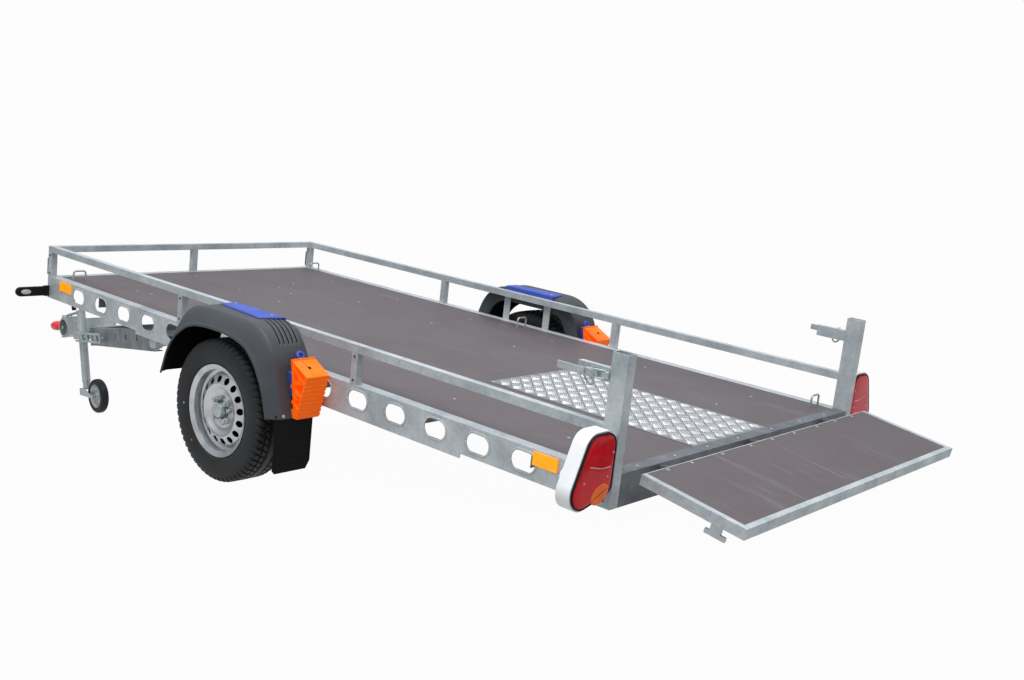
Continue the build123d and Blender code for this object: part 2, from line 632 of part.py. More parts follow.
for word, sign in SIDES:
    plane = wheel_plane(sign)
    spin_axis = Axis(plane.origin, (0, sign, 0))
    with BuildPart() as tyre:
        with BuildSketch(plane):
            with BuildLine():
                half = TYRE_WIDTH / 2
                bead = RIM_HALF - 4
                bead_top = RIM_FLANGE + BEAD_GAP
                Line((-half + 24, TYRE_RADIUS), (half - 24, TYRE_RADIUS))
                ThreePointArc((half - 24, TYRE_RADIUS), (half - 8, TYRE_RADIUS - 8),
                              (half - 2, TYRE_RADIUS - 26))
                ThreePointArc((half - 2, TYRE_RADIUS - 26), (half, TYRE_RADIUS - 52), (bead, bead_top))
                Line((bead, bead_top), (RIM_HALF - 13, RIM_SEAT + BEAD_GAP))
                Line((RIM_HALF - 13, RIM_SEAT + BEAD_GAP), (-RIM_HALF + 13, RIM_SEAT + BEAD_GAP))
                Line((-RIM_HALF + 13, RIM_SEAT + BEAD_GAP), (-bead, bead_top))
                ThreePointArc((-bead, bead_top), (-half, TYRE_RADIUS - 52), (-half + 2, TYRE_RADIUS - 26))
                ThreePointArc((-half + 2, TYRE_RADIUS - 26), (-half + 8, TYRE_RADIUS - 8),
                              (-half + 24, TYRE_RADIUS))
            make_face()
        revolve(axis=spin_axis)
    save(tyre, "tyre_" + word)

    with BuildPart() as rim:
        with BuildSketch(plane):
            with BuildLine():
                # barrel from the outer flange to the inner one, back inside it, then down the disc
                Polyline((RIM_HALF, RIM_FLANGE), (RIM_HALF - 3, RIM_FLANGE), (RIM_HALF - 13, RIM_SEAT),
                         (32, RIM_SEAT - 1), (24, WELL), (-20, WELL), (-28, RIM_SEAT - 1),
                         (-RIM_HALF + 13, RIM_SEAT), (-RIM_HALF + 3, RIM_FLANGE), (-RIM_HALF, RIM_FLANGE),
                         (-RIM_HALF + 9, RIM_SEAT - 4), (-31.5, RIM_SEAT - 5), (-23.5, DISC_EDGE),
                         (16, DISC_EDGE), (16, DISC_EDGE - DISC_THICK), (34, DISC_EDGE - DISC_THICK),
                         (39, disc(0.90)), (56, disc(0.48)), (54, disc(0.37)), (HUB_FACE + 4, disc(0.17)),
                         (HUB_FACE, DISC_ROUND), (HUB_FACE, 31), (HUB_FACE + DISC_THICK, 31),
                         (HUB_FACE + DISC_THICK, DISC_ROUND - 2), (HUB_FACE + DISC_THICK + 4, disc(0.14)),
                         (58, disc(0.35)), (60, disc(0.45)), (43, disc(0.94)), (38, DISC_EDGE),
                         (27.5, DISC_EDGE), (35.5, RIM_SEAT - 5), (RIM_HALF - 9, RIM_SEAT - 4), close=True)
            make_face()
        revolve(axis=spin_axis)
        with BuildSketch(wheel_side(sign, 0)):
            with PolarLocations(VENT_RING, VENT_HOLES):
                Circle(VENT_RADIUS)
        extrude(amount=RIM_HALF, mode=Mode.SUBTRACT)
    save(rim, "rim_" + word)

    with BuildPart() as hub:
        with BuildSketch(wheel_side(sign, HUB_INNER - wheel_middle)):
            Circle(64)
        extrude(amount=wheel_middle + HUB_FACE - HUB_INNER)
        with BuildSketch(wheel_side(sign, HUB_FACE)):
            Circle(27)
        extrude(amount=29)
        with BuildSketch(wheel_side(sign, HUB_FACE + DISC_THICK)):
            with PolarLocations(BOLT_RING, 4):
                RegularPolygon(9.5, 6)
        extrude(amount=12)
        with BuildSketch(wheel_side(sign, HUB_INNER - wheel_middle)):
            Circle(STUB_RADIUS + RUNNING)
        extrude(amount=wheel_middle - 8 - HUB_INNER, mode=Mode.SUBTRACT)
    save(hub, "hub_" + word)

# Ramp: an angle frame round a board
ramp_inner = ramp_half - RAMP_FLANGE
with BuildPart() as ramp_frame:
    bar(RAMP, (-RAMP_LENGTH, 0), (-ramp_half, ramp_half), (-RAMP_FRAME, 0))
    bar(RAMP, (-RAMP_LENGTH + RAMP_WALL, -RAMP_WALL), (-ramp_half + RAMP_WALL, ramp_half - RAMP_WALL),
        (-RAMP_FRAME, -RAMP_WALL - RAMP_PLY), mode=Mode.SUBTRACT)
    bar(RAMP, (-RAMP_LENGTH + RAMP_WALL, -RAMP_WALL), (-ramp_half + RAMP_WALL, ramp_half - RAMP_WALL),
        (-RAMP_WALL - RAMP_PLY, 0), mode=Mode.SUBTRACT)
    # shelf under the board
    bar(RAMP, (-RAMP_LENGTH, 0), (-ramp_half, ramp_half), (-RAMP_WALL - RAMP_PLY, -RAMP_PLY))
    bar(RAMP, (-RAMP_LENGTH + RAMP_FLANGE, -RAMP_FLANGE), (-ramp_inner, ramp_inner),
        (-RAMP_WALL - RAMP_PLY, -RAMP_PLY), mode=Mode.SUBTRACT)
    hinge_local = RAMP.to_local_coords(BED.from_local_coords((hinge_x, 0, hinge_z)))
    for y in HINGE_PLACES:
        for shift in (HINGE_LUG + HINGE_SIDE, -HINGE_LUG - HINGE_SIDE):
            with BuildSketch(side(RAMP, y + shift + HINGE_LUG / 2)):
                with BuildLine():
                    Polyline((hinge_local.X, hinge_local.Z + lug_round), (0, -RAMP_WALL),
                             (0, -RAMP_FRAME), (hinge_local.X, hinge_local.Z - lug_round), close=True)
                make_face()
                with Locations((hinge_local.X, hinge_local.Z)):
                    Circle(lug_round)
                with Locations((hinge_local.X, hinge_local.Z)):
                    Circle(HINGE_PIN + RUNNING, mode=Mode.SUBTRACT)
            extrude(amount=HINGE_LUG)
save(ramp_frame, "ramp_frame")

with BuildPart() as ramp_panel:
    bar(RAMP, (-RAMP_LENGTH + RAMP_WALL, -RAMP_WALL), (-ramp_half + RAMP_WALL, ramp_half - RAMP_WALL),
        (-RAMP_PLY, 0))
save(ramp_panel, "ramp_panel")

# Catch hooks under the ramp: a plate and a bar that the toggle's loop goes round
CATCH_BACK = 278.0
with BuildPart() as ramp_catches:
    for word, sign in SIDES:
        y = both(sign, ramp_half - 10, ramp_half)
        bar(RAMP, (-CATCH_BACK - 18, -CATCH_BACK + 18), y, (-RAMP_FRAME - 26, -RAMP_FRAME))
        bar(RAMP, (-CATCH_BACK - 36, -CATCH_BACK + 34), y, (-RAMP_FRAME - 36, -RAMP_FRAME - 22))
save(ramp_catches, "ramp_catches")

# Drawbar: two arms that meet at the nose
ARM_TAIL = (-958.0, BED_HALF - 55.0)
ARM_HEAD = (925.0, 84.0)
arm_run = math.hypot(ARM_HEAD[0] - ARM_TAIL[0], ARM_HEAD[1] - ARM_TAIL[1])
arm_low = ARM_TOP - ARM_HEIGHT


def arm_plane(sign):
    """Upright plane along an arm, x from its tail, on its outer face."""
    start = DRAW.from_local_coords((ARM_TAIL[0], sign * ARM_TAIL[1], 0))
    end = DRAW.from_local_coords((ARM_HEAD[0], sign * ARM_HEAD[1], 0))
    along = end - start
    return Plane(origin=start, x_dir=along, z_dir=along.cross(DRAW.z_dir))


for word, sign in SIDES:
    plane = arm_plane(sign)
    with BuildPart() as arm:
        # outer wall, with the tail cut up
        outline = [(0, ARM_TOP), (0, ARM_TOP - 66), (215, arm_low), (arm_run, arm_low), (arm_run, ARM_TOP)]
        with BuildSketch(plane):
            with BuildLine():
                Polyline(*outline, close=True)
            make_face()
            with Locations([(x, ARM_TOP - ARM_HEIGHT * 0.42) for x in (620, 900, 1180, 1460)]):
                Circle(16, mode=Mode.SUBTRACT)
        extrude(amount=sign * ARM_THICK)
        # top and bottom flanges turned inwards
        for z0, x0 in ((ARM_TOP - ARM_THICK, 60.0), (arm_low, 230.0)):
            with BuildSketch(plane):
                with Locations(((x0 + arm_run - 90) / 2, z0 + ARM_THICK / 2)):
                    Rectangle(arm_run - 90 - x0, ARM_THICK)
            extrude(amount=sign * ARM_FLANGE)
        # clearance for the pivot tube, and the wall ends at the nose's side
        with BuildSketch(side(DRAW, 900)):
            with Locations((-PIVOT_BACK, -PIVOT_BELOW)):
                Circle(PIVOT_RADIUS + 0.2)
        extrude(amount=1800, mode=Mode.SUBTRACT)
        bar(DRAW, (NOSE_REAR - 200, NOSE_FRONT), (-NOSE_HALF - 0.2, NOSE_HALF + 0.2), (-300, 100),
            mode=Mode.SUBTRACT)
    save(arm, "drawbar_arm_" + word)

tube_half = flange_inner - 12
with BuildPart() as pivot_tube:
    with BuildSketch(side(DRAW, tube_half)):
        with Locations((-PIVOT_BACK, -PIVOT_BELOW)):
            Circle(PIVOT_RADIUS)
            Circle(PIVOT_PIN + RUNNING, mode=Mode.SUBTRACT)
    extrude(amount=2 * tube_half)
save(pivot_tube, "pivot_tube")

# Bearings that hang the pivot tube from the sills
pin_inner = tube_half - 58
with BuildPart() as pivot_bearings:
    for word, sign in SIDES:
        with BuildSketch(side(BED, flange_inner + 38 if sign > 0 else -flange_inner - 26)):
            with Locations((-PIVOT_BACK, -PIVOT_BELOW)):
                Circle(PIVOT_RADIUS + 5)
            with Locations((-PIVOT_BACK, (-PIVOT_BELOW - SILL_HEIGHT - SILL_WALL) / 2)):
                Rectangle(2 * PIVOT_RADIUS + 10, PIVOT_BELOW - SILL_HEIGHT - SILL_WALL)
        extrude(amount=12)
        with BuildSketch(side(BED, flange_inner + 26 if sign > 0 else -pin_inner)):
            with Locations((-PIVOT_BACK, -PIVOT_BELOW)):
                Circle(PIVOT_PIN)
        extrude(amount=flange_inner + 26 - pin_inner)
save(pivot_bearings, "pivot_bearings")

# Nose beam between the arms
with BuildPart() as drawbar_nose:
    bar(DRAW, (NOSE_REAR, NOSE_FRONT), (-NOSE_HALF, NOSE_HALF), (NOSE_BOTTOM, NOSE_TOP))
    # plates that join the arms to the nose
    for z in (ARM_TOP, arm_low - ARM_THICK):
        bar(DRAW, (NOSE_REAR - 40, ARM_HEAD[0]), (-ARM_HEAD[1] + 2, ARM_HEAD[1] - 2), (z, z + ARM_THICK))
    bar(DRAW, (NOSE_REAR, ARM_HEAD[0]), (-NOSE_HALF, NOSE_HALF), (arm_low, NOSE_BOTTOM))
save(drawbar_nose, "drawbar_nose")

# Coupling head with a ball socket that opens downwards, and the grip in front of it
with BuildPart() as coupling_head:
    bar(DRAW, (NOSE_FRONT, BALL_X), (-HEAD_HALF, HEAD_HALF), (HEAD_BOTTOM, HEAD_TOP))
    with BuildSketch(DRAW.offset(HEAD_BOTTOM)):
        with Locations((BALL_X, 0)):
            Circle(HEAD_HALF)
    extrude(amount=HEAD_TOP - HEAD_BOTTOM)
    with BuildSketch(side(DRAW, HEAD_HALF)):
        with BuildLine():
            Polyline((NOSE_FRONT, HEAD_TOP), (BALL_X - 16, HEAD_TOP), (HEAD_FRONT, HEAD_TOP - 44),
                     (HEAD_FRONT, HEAD_BOTTOM + 34), (HEAD_FRONT - 24, HEAD_BOTTOM),
                     (BALL_X - 48, HEAD_BOTTOM), (NOSE_FRONT, HEAD_BOTTOM + 22), close=True)
        make_face()
    extrude(amount=2 * HEAD_HALF, mode=Mode.INTERSECT)
    with BuildSketch(DRAW.offset(HEAD_BOTTOM)):
        with Locations((BALL_X, 0)):
            Circle(BALL_RADIUS + BALL_CLEAR)
    extrude(amount=SOCKET_DEPTH, mode=Mode.SUBTRACT)
save(coupling_head, "coupling_head")

with BuildPart() as coupling_grip:
    with BuildSketch(across(DRAW, HEAD_FRONT)):
        with Locations((0, GRIP_MIDDLE)):
            Circle(GRIP_RADIUS / 2.5)
    extrude(amount=GRIP_REAR - HEAD_FRONT)
    with BuildSketch(across(DRAW, GRIP_REAR)):
        with Locations((0, GRIP_MIDDLE)):
            Circle(GRIP_RADIUS)
    extrude(amount=GRIP_FRONT - GRIP_REAR)
    ends = coupling_grip.edges().filter_by(GeomType.CIRCLE).group_by(SortBy.RADIUS)[-1]
    fillet(ends, GRIP_RADIUS * 0.55)
save(coupling_grip, "coupling_grip")

# Jockey clamp on the left side of the nose
with BuildPart() as jockey_clamp:
    bar(DRAW, (JOCKEY_X - 40, JOCKEY_X + 40), (NOSE_HALF, JOCKEY_Y + JOCKEY_TUBE + 12), (-140, -100))
    with BuildSketch(DRAW.offset(-150)):
        with Locations((JOCKEY_X, JOCKEY_Y)):
            Circle(JOCKEY_TUBE + RUNNING)
    extrude(amount=60, mode=Mode.SUBTRACT)
save(jockey_clamp, "jockey_clamp")

JOCKEY_TOP = 20.0
JOCKEY_TUBE_LOW = -400.0
JOCKEY_LEG_LOW = -437.0
with BuildPart() as jockey_tube:
    with BuildSketch(DRAW.offset(JOCKEY_TUBE_LOW)):
        with Locations((JOCKEY_X, JOCKEY_Y)):
            Circle(JOCKEY_TUBE)
            Circle(JOCKEY_LEG + RUNNING, mode=Mode.SUBTRACT)
    extrude(amount=JOCKEY_TOP - JOCKEY_TUBE_LOW)
    with BuildSketch(DRAW.offset(JOCKEY_TOP)):
        with Locations((JOCKEY_X, JOCKEY_Y)):
            Circle(JOCKEY_TUBE)
    extrude(amount=6)
save(jockey_tube, "jockey_tube")

with BuildPart() as jockey_crank:
    with BuildSketch(DRAW.offset(JOCKEY_TOP + 6)):
        with Locations((JOCKEY_X, JOCKEY_Y)):
            Circle(8)
    extrude(amount=22)
    bar(DRAW, (JOCKEY_X - 8, JOCKEY_X + 90), (JOCKEY_Y - 7, JOCKEY_Y + 7), (JOCKEY_TOP + 22, JOCKEY_TOP + 28))
    with BuildSketch(DRAW.offset(JOCKEY_TOP + 28)):
        with Locations((JOCKEY_X + 80, JOCKEY_Y)):
            Circle(10)
    extrude(amount=46)
save(jockey_crank, "jockey_crank")

# Inner tube with the swivel pin that holds the fork
JOCKEY_LEG_TOP = -60.0
SWIVEL_PIN = 8.0
SWIVEL_PLAY = 0.1
FORK_THICK = 5.0
swivel_low = JOCKEY_LEG_LOW - FORK_THICK - 2 * SWIVEL_PLAY
with BuildPart() as jockey_leg:
    for z0, z1, radius in (
        (JOCKEY_LEG_LOW, JOCKEY_LEG_TOP, JOCKEY_LEG),
        (swivel_low, JOCKEY_LEG_LOW, SWIVEL_PIN),
        (swivel_low - 4, swivel_low, SWIVEL_PIN + 5),
    ):
        with BuildSketch(DRAW.offset(z0)):
            with Locations((JOCKEY_X, JOCKEY_Y)):
                Circle(radius)
        extrude(amount=z1 - z0)
save(jockey_leg, "jockey_leg")

# Jockey fork and wheel, placed so that the wheel stands on the floor
leg_foot = DRAW.from_local_coords((JOCKEY_X, JOCKEY_Y, JOCKEY_LEG_LOW))
turn = math.radians(JOCKEY_TURN)
roll = DRAW.x_dir * math.cos(turn) + DRAW.y_dir * math.sin(turn)
# the wheel leans with the tube, so its lowest point is at the edge of its tread
lean = math.radians(DRAWBAR_DROP) * abs(math.sin(turn))
wheel_height = JOCKEY_WHEEL * math.cos(lean) + (JOCKEY_WHEEL_WIDE / 2 - TREAD_EDGE) * math.sin(lean)
behind = leg_foot - roll * JOCKEY_TRAIL
centre = behind - DRAW.z_dir * ((behind.Z - wheel_height) / DRAW.z_dir.Z)
FORK = Plane(origin=centre, x_dir=roll, z_dir=DRAW.z_dir)
FORK_HALF = JOCKEY_WHEEL_WIDE / 2 + 6
fork_top = FORK.to_local_coords(leg_foot).Z - SWIVEL_PLAY
with BuildPart() as jockey_fork:
    for y0 in (FORK_HALF, -FORK_HALF - FORK_THICK):
        with BuildSketch(side(FORK, y0 + FORK_THICK)):
            with BuildLine():
                Polyline((-16, -14), (14, -14), (JOCKEY_TRAIL + 26, fork_top - 40),
                         (JOCKEY_TRAIL + 26, fork_top), (JOCKEY_TRAIL - 28, fork_top), close=True)
            make_face()
        extrude(amount=FORK_THICK)
    bar(FORK, (JOCKEY_TRAIL - 28, JOCKEY_TRAIL + 26), (-FORK_HALF, FORK_HALF),
        (fork_top - FORK_THICK, fork_top))
    with BuildSketch(side(FORK, FORK_HALF)):
        Circle(8)
    extrude(amount=2 * FORK_HALF)
    with BuildSketch(FORK.offset(fork_top - FORK_THICK)):
        with Locations((JOCKEY_TRAIL, 0)):
            Circle(SWIVEL_PIN + RUNNING)
    extrude(amount=FORK_THICK, mode=Mode.SUBTRACT)
save(jockey_fork, "jockey_fork")

with BuildPart() as jockey_tyre:
    with BuildSketch(side(FORK, JOCKEY_WHEEL_WIDE / 2)):
        Circle(JOCKEY_WHEEL)
        Circle(68, mode=Mode.SUBTRACT)
    extrude(amount=JOCKEY_WHEEL_WIDE)
    chamfer(jockey_tyre.edges().filter_by(GeomType.CIRCLE).group_by(SortBy.RADIUS)[-1], TREAD_EDGE)
save(jockey_tyre, "jockey_tyre")

with BuildPart() as jockey_rim:
    with BuildSketch(side(FORK, JOCKEY_WHEEL_WIDE / 2 - 4)):
        Circle(68)
        Circle(8 + RUNNING, mode=Mode.SUBTRACT)
    extrude(amount=JOCKEY_WHEEL_WIDE - 8)
save(jockey_rim, "jockey_rim")

print("axle line", round(SHIFT, 2), TYRE_RADIUS)
print("bed pivot", [round(v, 2) for v in DRAW.from_local_coords((-PIVOT_BACK, 0, -PIVOT_BELOW))])
print("ramp hinge", [round(v, 2) for v in BED.from_local_coords((hinge_x, 0, hinge_z))])
print("jockey leg", [round(v, 2) for v in leg_foot], "wheel", [round(v, 2) for v in centre])
print("jockey axis", [round(v, 4) for v in FORK.y_dir], "tube", [round(v, 4) for v in DRAW.z_dir])
socket_middle = DRAW.from_local_coords((BALL_X, 0, HEAD_BOTTOM + SOCKET_DEPTH / 2))
print("ball socket", [round(v, 2) for v in socket_middle])
print("deck middle", [round(v, 2) for v in BED.from_local_coords((-1000, 0, 0))])
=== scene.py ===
"""Looks of the motorcycle trailer, built around its packed frame as a Blender add-on.

Every piece is a mesh made from a grid of points, and each operator says its formula.
Lengths inside the builders are millimetres in one of the slanted frames below.
"""

import json
import math

import bpy
import numpy as np
from bpy.props import FloatProperty, IntProperty, PointerProperty
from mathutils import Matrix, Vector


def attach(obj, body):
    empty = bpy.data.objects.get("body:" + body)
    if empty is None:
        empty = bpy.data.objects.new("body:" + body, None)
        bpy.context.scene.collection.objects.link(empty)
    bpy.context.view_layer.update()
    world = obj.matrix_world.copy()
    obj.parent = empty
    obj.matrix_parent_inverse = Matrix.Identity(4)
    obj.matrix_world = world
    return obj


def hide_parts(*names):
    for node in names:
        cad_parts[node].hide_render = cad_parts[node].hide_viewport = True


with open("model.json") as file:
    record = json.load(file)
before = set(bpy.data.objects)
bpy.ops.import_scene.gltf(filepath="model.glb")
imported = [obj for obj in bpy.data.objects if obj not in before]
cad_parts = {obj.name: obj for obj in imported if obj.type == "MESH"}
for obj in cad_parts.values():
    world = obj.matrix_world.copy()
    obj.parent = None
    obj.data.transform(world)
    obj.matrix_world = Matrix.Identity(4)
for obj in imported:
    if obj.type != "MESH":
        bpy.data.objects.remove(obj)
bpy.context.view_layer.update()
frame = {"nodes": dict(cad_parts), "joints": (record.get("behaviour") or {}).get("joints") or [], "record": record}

bl_info = {
    "name": "Motorcycle trailer looks",
    "version": (1, 0, 0),
    "blender": (4, 5, 0),
    "location": "View3D > Sidebar > Trailer",
    "description": "Builds the visible pieces and materials of a motorcycle trailer",
    "category": "Object",
}

# Frames: millimetres with x forward, y left and z up, to metres in the row frame
JOINTS = {j["name"]: j for j in frame["joints"]}
AXLE = np.array(JOINTS["wheel_left_spin"]["pos_m"]) * 1000.0
PIVOT = np.array(JOINTS["drawbar_hinge"]["pos_m"]) * 1000.0
RAMP_PIN = np.array(JOINTS["ramp_hinge"]["pos_m"]) * 1000.0
BED_RISE = 10.8
DRAWBAR_RISE = -2.1
RAMP_RISE = 19.15
AXLE_IN_BED = (-1702.0, -223.0)
PIVOT_IN_DRAWBAR = (-930.0, -135.0)
AXLE_X, AXLE_Z = AXLE_IN_BED
TRACK = 917.0      # from the middle to each road wheel's middle
SILL_SIDE = 808.0  # from the middle to the sills' outer faces


def slant(rise, local, level):
    """Matrix of a frame that is turned nose up and passes a known point."""
    c = math.cos(math.radians(rise))
    s = math.sin(math.radians(rise))
    m = np.eye(4)
    m[:3, 0] = (c, 0, s)
    m[:3, 2] = (-s, 0, c)
    m[:3, 3] = (level[0], 0, level[2])
    m[:3, 3] -= m[:3, 0] * local[0] + m[:3, 2] * local[1]
    return m


BED = slant(BED_RISE, AXLE_IN_BED, AXLE)
DRAW = slant(DRAWBAR_RISE, PIVOT_IN_DRAWBAR, PIVOT)
RAMP_PIN_LOCAL = (24.63, -35.24)
RAMP = slant(RAMP_RISE, RAMP_PIN_LOCAL, RAMP_PIN)
WHEEL = slant(BED_RISE, (0.0, 0.0), AXLE)
ROW = np.eye(4)


def placed(matrix, points):
    """Points of a slanted frame, in millimetres, as row points in metres."""
    p = np.asarray(points, float).reshape(-1, 3)
    return (p @ matrix[:3, :3].T + matrix[:3, 3]) / 1000.0


# Meshes


def make(name, points, faces, matrix, look, body, slot, replaces=(), smooth=40.0, mirror=False):
    """One object from points and faces. With mirror, a second copy at minus y is added."""
    points = np.asarray(points, float).reshape(-1, 3)
    faces = [np.asarray(f, int) for f in faces]
    if mirror:
        other = points * (1, -1, 1)
        count = len(points)
        points = np.vstack((points, other))
        faces = faces + [f[:, ::-1] + count for f in faces]
    mesh = bpy.data.meshes.new(name)
    fill_mesh(mesh, placed(matrix, points), faces)
    if smooth:
        mesh.shade_smooth()
        mesh.set_sharp_from_angle(angle=math.radians(smooth))
    mesh.materials.append(MATERIALS[look])
    obj = bpy.data.objects.new(name, mesh)
    bpy.context.scene.collection.objects.link(obj)
    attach(obj, body)
    if replaces:
        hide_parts(*replaces)
    return obj


def fill_mesh(mesh, points, faces):
    """Fills a mesh from arrays: each item of faces is an array with one polygon a row."""
    loops = np.concatenate([f.ravel() for f in faces])
    sizes = np.concatenate([np.full(len(f), f.shape[1]) for f in faces])
    starts = np.concatenate(([0], np.cumsum(sizes)[:-1]))
    mesh.vertices.add(len(points))
    mesh.vertices.foreach_set("co", points.ravel())
    mesh.loops.add(len(loops))
    mesh.loops.foreach_set("vertex_index", loops)
    mesh.polygons.add(len(sizes))
    mesh.polygons.foreach_set("loop_start", starts)
    mesh.update(calc_edges=True)
    if mesh.validate():
        raise RuntimeError("mesh " + mesh.name + " had bad faces")


def thicken(obj, wall):
    """Gives a sheet its wall, in millimetres, inward from its faces; returns the modifier."""
    solid = obj.modifiers.new("Thickness", "SOLIDIFY")
    solid.thickness = wall / 1000.0
    solid.offset = -1.0
    return solid


def grid_faces(n, m, wrap_n=False, wrap_m=False, flip=False):
    """Quads of an n by m grid of points: (i, j), (i+1, j), (i+1, j+1), (i, j+1)."""
    i, j = np.meshgrid(np.arange(n if wrap_n else n - 1), np.arange(m if wrap_m else m - 1), indexing="ij")
    a = (i * m + j).ravel()
    b = ((i + 1) % n * m + j).ravel()
    c = ((i + 1) % n * m + (j + 1) % m).ravel()
    d = (i * m + (j + 1) % m).ravel()
    quads = np.stack((a, b, c, d), axis=1)
    return quads[:, ::-1] if flip else quads


def outward(pts, faces):
    """Faces of a closed form, turned over where its volume, the sum of a . (b x c) / 6, is negative."""
    p = pts - pts.mean(axis=0)
    volume = 0.0
    for f in faces:
        for k in range(1, f.shape[1] - 1):
            volume += np.einsum("ij,ij->", p[f[:, 0]], np.cross(p[f[:, k]], p[f[:, k + 1]]))
    return faces if volume > 0 else [f[:, ::-1] for f in faces]


def capped(rings, n):
    """Faces of stacked rings of n points each, closed by a polygon at both ends."""
    end = np.arange(n)[None, :]
    return [grid_faces(rings, n, wrap_m=True), end, end[:, ::-1] + (rings - 1) * n]


def prism(outline, y0, y1, inset=0.0):
    """Extruded outline: x, z points in order, between two y planes, with both ends closed.

    Ring k holds the outline at y_k. With an inset the ends step in by it, as a small bevel.
    """
    o = np.asarray(outline, float)
    n = len(o)
    centre = o.mean(axis=0)
    lengths = np.linalg.norm(o - centre, axis=1, keepdims=True)
    small = o - (o - centre) / lengths * inset
    rings = [(o, y0), (o, y1)]
    if inset:
        rings = [(small, y0), (o, y0 + inset), (o, y1 - inset), (small, y1)]
    pts = np.vstack([np.column_stack((r[:, 0], np.full(n, y), r[:, 1])) for r, y in rings])
    return pts, capped(len(rings), n)


def revolved(profile, centre, axis, sides=48, closed=False):
    """Profile (out along the axis, radius) turned about an axis: p = c + a*axis + r*(u*cos t + v*sin t)."""
    axis = np.asarray(axis, float) / np.linalg.norm(axis)
    u = np.cross(axis, (0, 0, 1.0) if abs(axis[2]) < 0.9 else (1.0, 0, 0))
    u /= np.linalg.norm(u)
    v = np.cross(axis, u)
    t = np.arange(sides) * 2 * math.pi / sides
    ring = np.cos(t)[:, None] * u + np.sin(t)[:, None] * v
    prof = np.asarray(profile, float)
    pts = np.asarray(centre, float) + prof[:, 0, None, None] * axis + prof[:, 1, None, None] * ring
    n = len(prof)
    ring = [grid_faces(n, sides, wrap_n=True, wrap_m=True)] if closed else capped(n, sides)
    return pts.reshape(-1, 3), ring


class Parts:
    """Collects points and faces of several forms for one object."""

    def __init__(self):
        self.points = []
        self.faces = []
        self.count = 0

    def put(self, pts, faces):
        """Adds points, and faces that count from 0 and keep their direction."""
        self.points.append(pts)
        self.faces.extend(f + self.count for f in faces)
        self.count += len(pts)

    def add(self, maker, *args, **kwargs):
        """Adds a closed form that a maker gives, with its faces outward."""
        pts, faces = maker(*args, **kwargs)
        self.put(pts, outward(pts, faces))

    def bolts(self, places, axis, radius, height, sides=6):
        """Bolt heads: a bevelled many-sided stub at each place, standing out along the axis."""
        profile = ((-1.0, radius), (height * 0.7, radius), (height, radius * 0.72), (height, radius * 0.2))
        for place in places:
            self.add(revolved, profile, place, axis, sides=sides)

    def screws(self, places, axis, radius):
        """Round screw heads with a sunk middle at each place."""
        profile = ((-0.6, radius), (0.5, radius), (1.1, radius * 0.75), (1.0, radius * 0.4),
                   (0.4, radius * 0.25))
        for place in places:
            self.add(revolved, profile, place, axis, sides=12)

    def box(self, x, y, z, bevel=0.8):
        """A block between x, y and z pairs, its ends bevelled."""
        b = bevel
        outline = [(x[0] + b, z[0]), (x[1] - b, z[0]), (x[1], z[0] + b), (x[1], z[1] - b),
                   (x[1] - b, z[1]), (x[0] + b, z[1]), (x[0], z[1] - b), (x[0], z[0] + b)]
        self.add(prism, outline, y[0], y[1], inset=b)

    def tube(self, path, radius, sides=16):
        """Round bar along points: ring i lies across the mean of the runs beside point i."""
        p = np.asarray(path, float)
        run = np.gradient(p, axis=0)
        run /= np.linalg.norm(run, axis=1, keepdims=True)
        ref = np.array((0.0, 0.0, 1.0)) if abs(run[:, 2]).max() < 0.9 else np.array((0.31, 0.92, 0.24))
        u = np.cross(run, ref)
        u /= np.linalg.norm(u, axis=1, keepdims=True)
        v = np.cross(run, u)
        t = np.arange(sides) * 2 * math.pi / sides
        c, s = np.cos(t)[None, :, None], np.sin(t)[None, :, None]
        pts = (p[:, None] + radius * (c * u[:, None] + s * v[:, None])).reshape(-1, 3)
        self.put(pts, outward(pts, capped(len(p), sides)))

    def make(self, name, *args, **kwargs):
        return make(name, np.vstack(self.points), self.faces, *args, **kwargs)


def single(name, matrix, look, body, slot, maker, *args, replaces=(), mirror=False, **kwargs):
    """An object of one closed form."""
    parts = Parts()
    parts.add(maker, *args, **kwargs)
    return parts.make(name, matrix, look, body, slot, replaces, mirror=mirror)


def rounded(corners, radius, n=6):
    """An open line through corners with each inner corner rounded by an arc of quadratic blend."""
    c = np.asarray(corners, float)
    out = [c[0]]
    for k in range(1, len(c) - 1):
        a = c[k - 1] - c[k]
        b = c[k + 1] - c[k]
        la, lb = np.linalg.norm(a), np.linalg.norm(b)
        r = min(radius, la * 0.49, lb * 0.49)
        p, q = c[k] + a / la * r, c[k] + b / lb * r
        t = np.linspace(0, 1, n)[:, None]
        out.extend((1 - t) ** 2 * p + 2 * t * (1 - t) * c[k] + t ** 2 * q)
    out.append(c[-1])
    return np.array(out)


def resampled(line, n):
    """A line as n points at even steps of its length."""
    line = np.asarray(line, float)
    d = np.concatenate(([0], np.cumsum(np.linalg.norm(np.diff(line, axis=0), axis=1))))
    s = np.linspace(0, d[-1], n)
    return np.column_stack([np.interp(s, d, line[:, k]) for k in range(line.shape[1])])


# Materials


def node(tree, kind, inputs=(), **settings):
    """Adds a node; inputs pairs a socket name or number with a value or a socket to link from."""
    n = tree.nodes.new("ShaderNode" + kind)
    for key, value in settings.items():
        setattr(n, key, value)
    for key, value in inputs:
        if isinstance(value, bpy.types.NodeSocket):
            tree.links.new(value, n.inputs[key])
        else:
            n.inputs[key].default_value = value
    return n


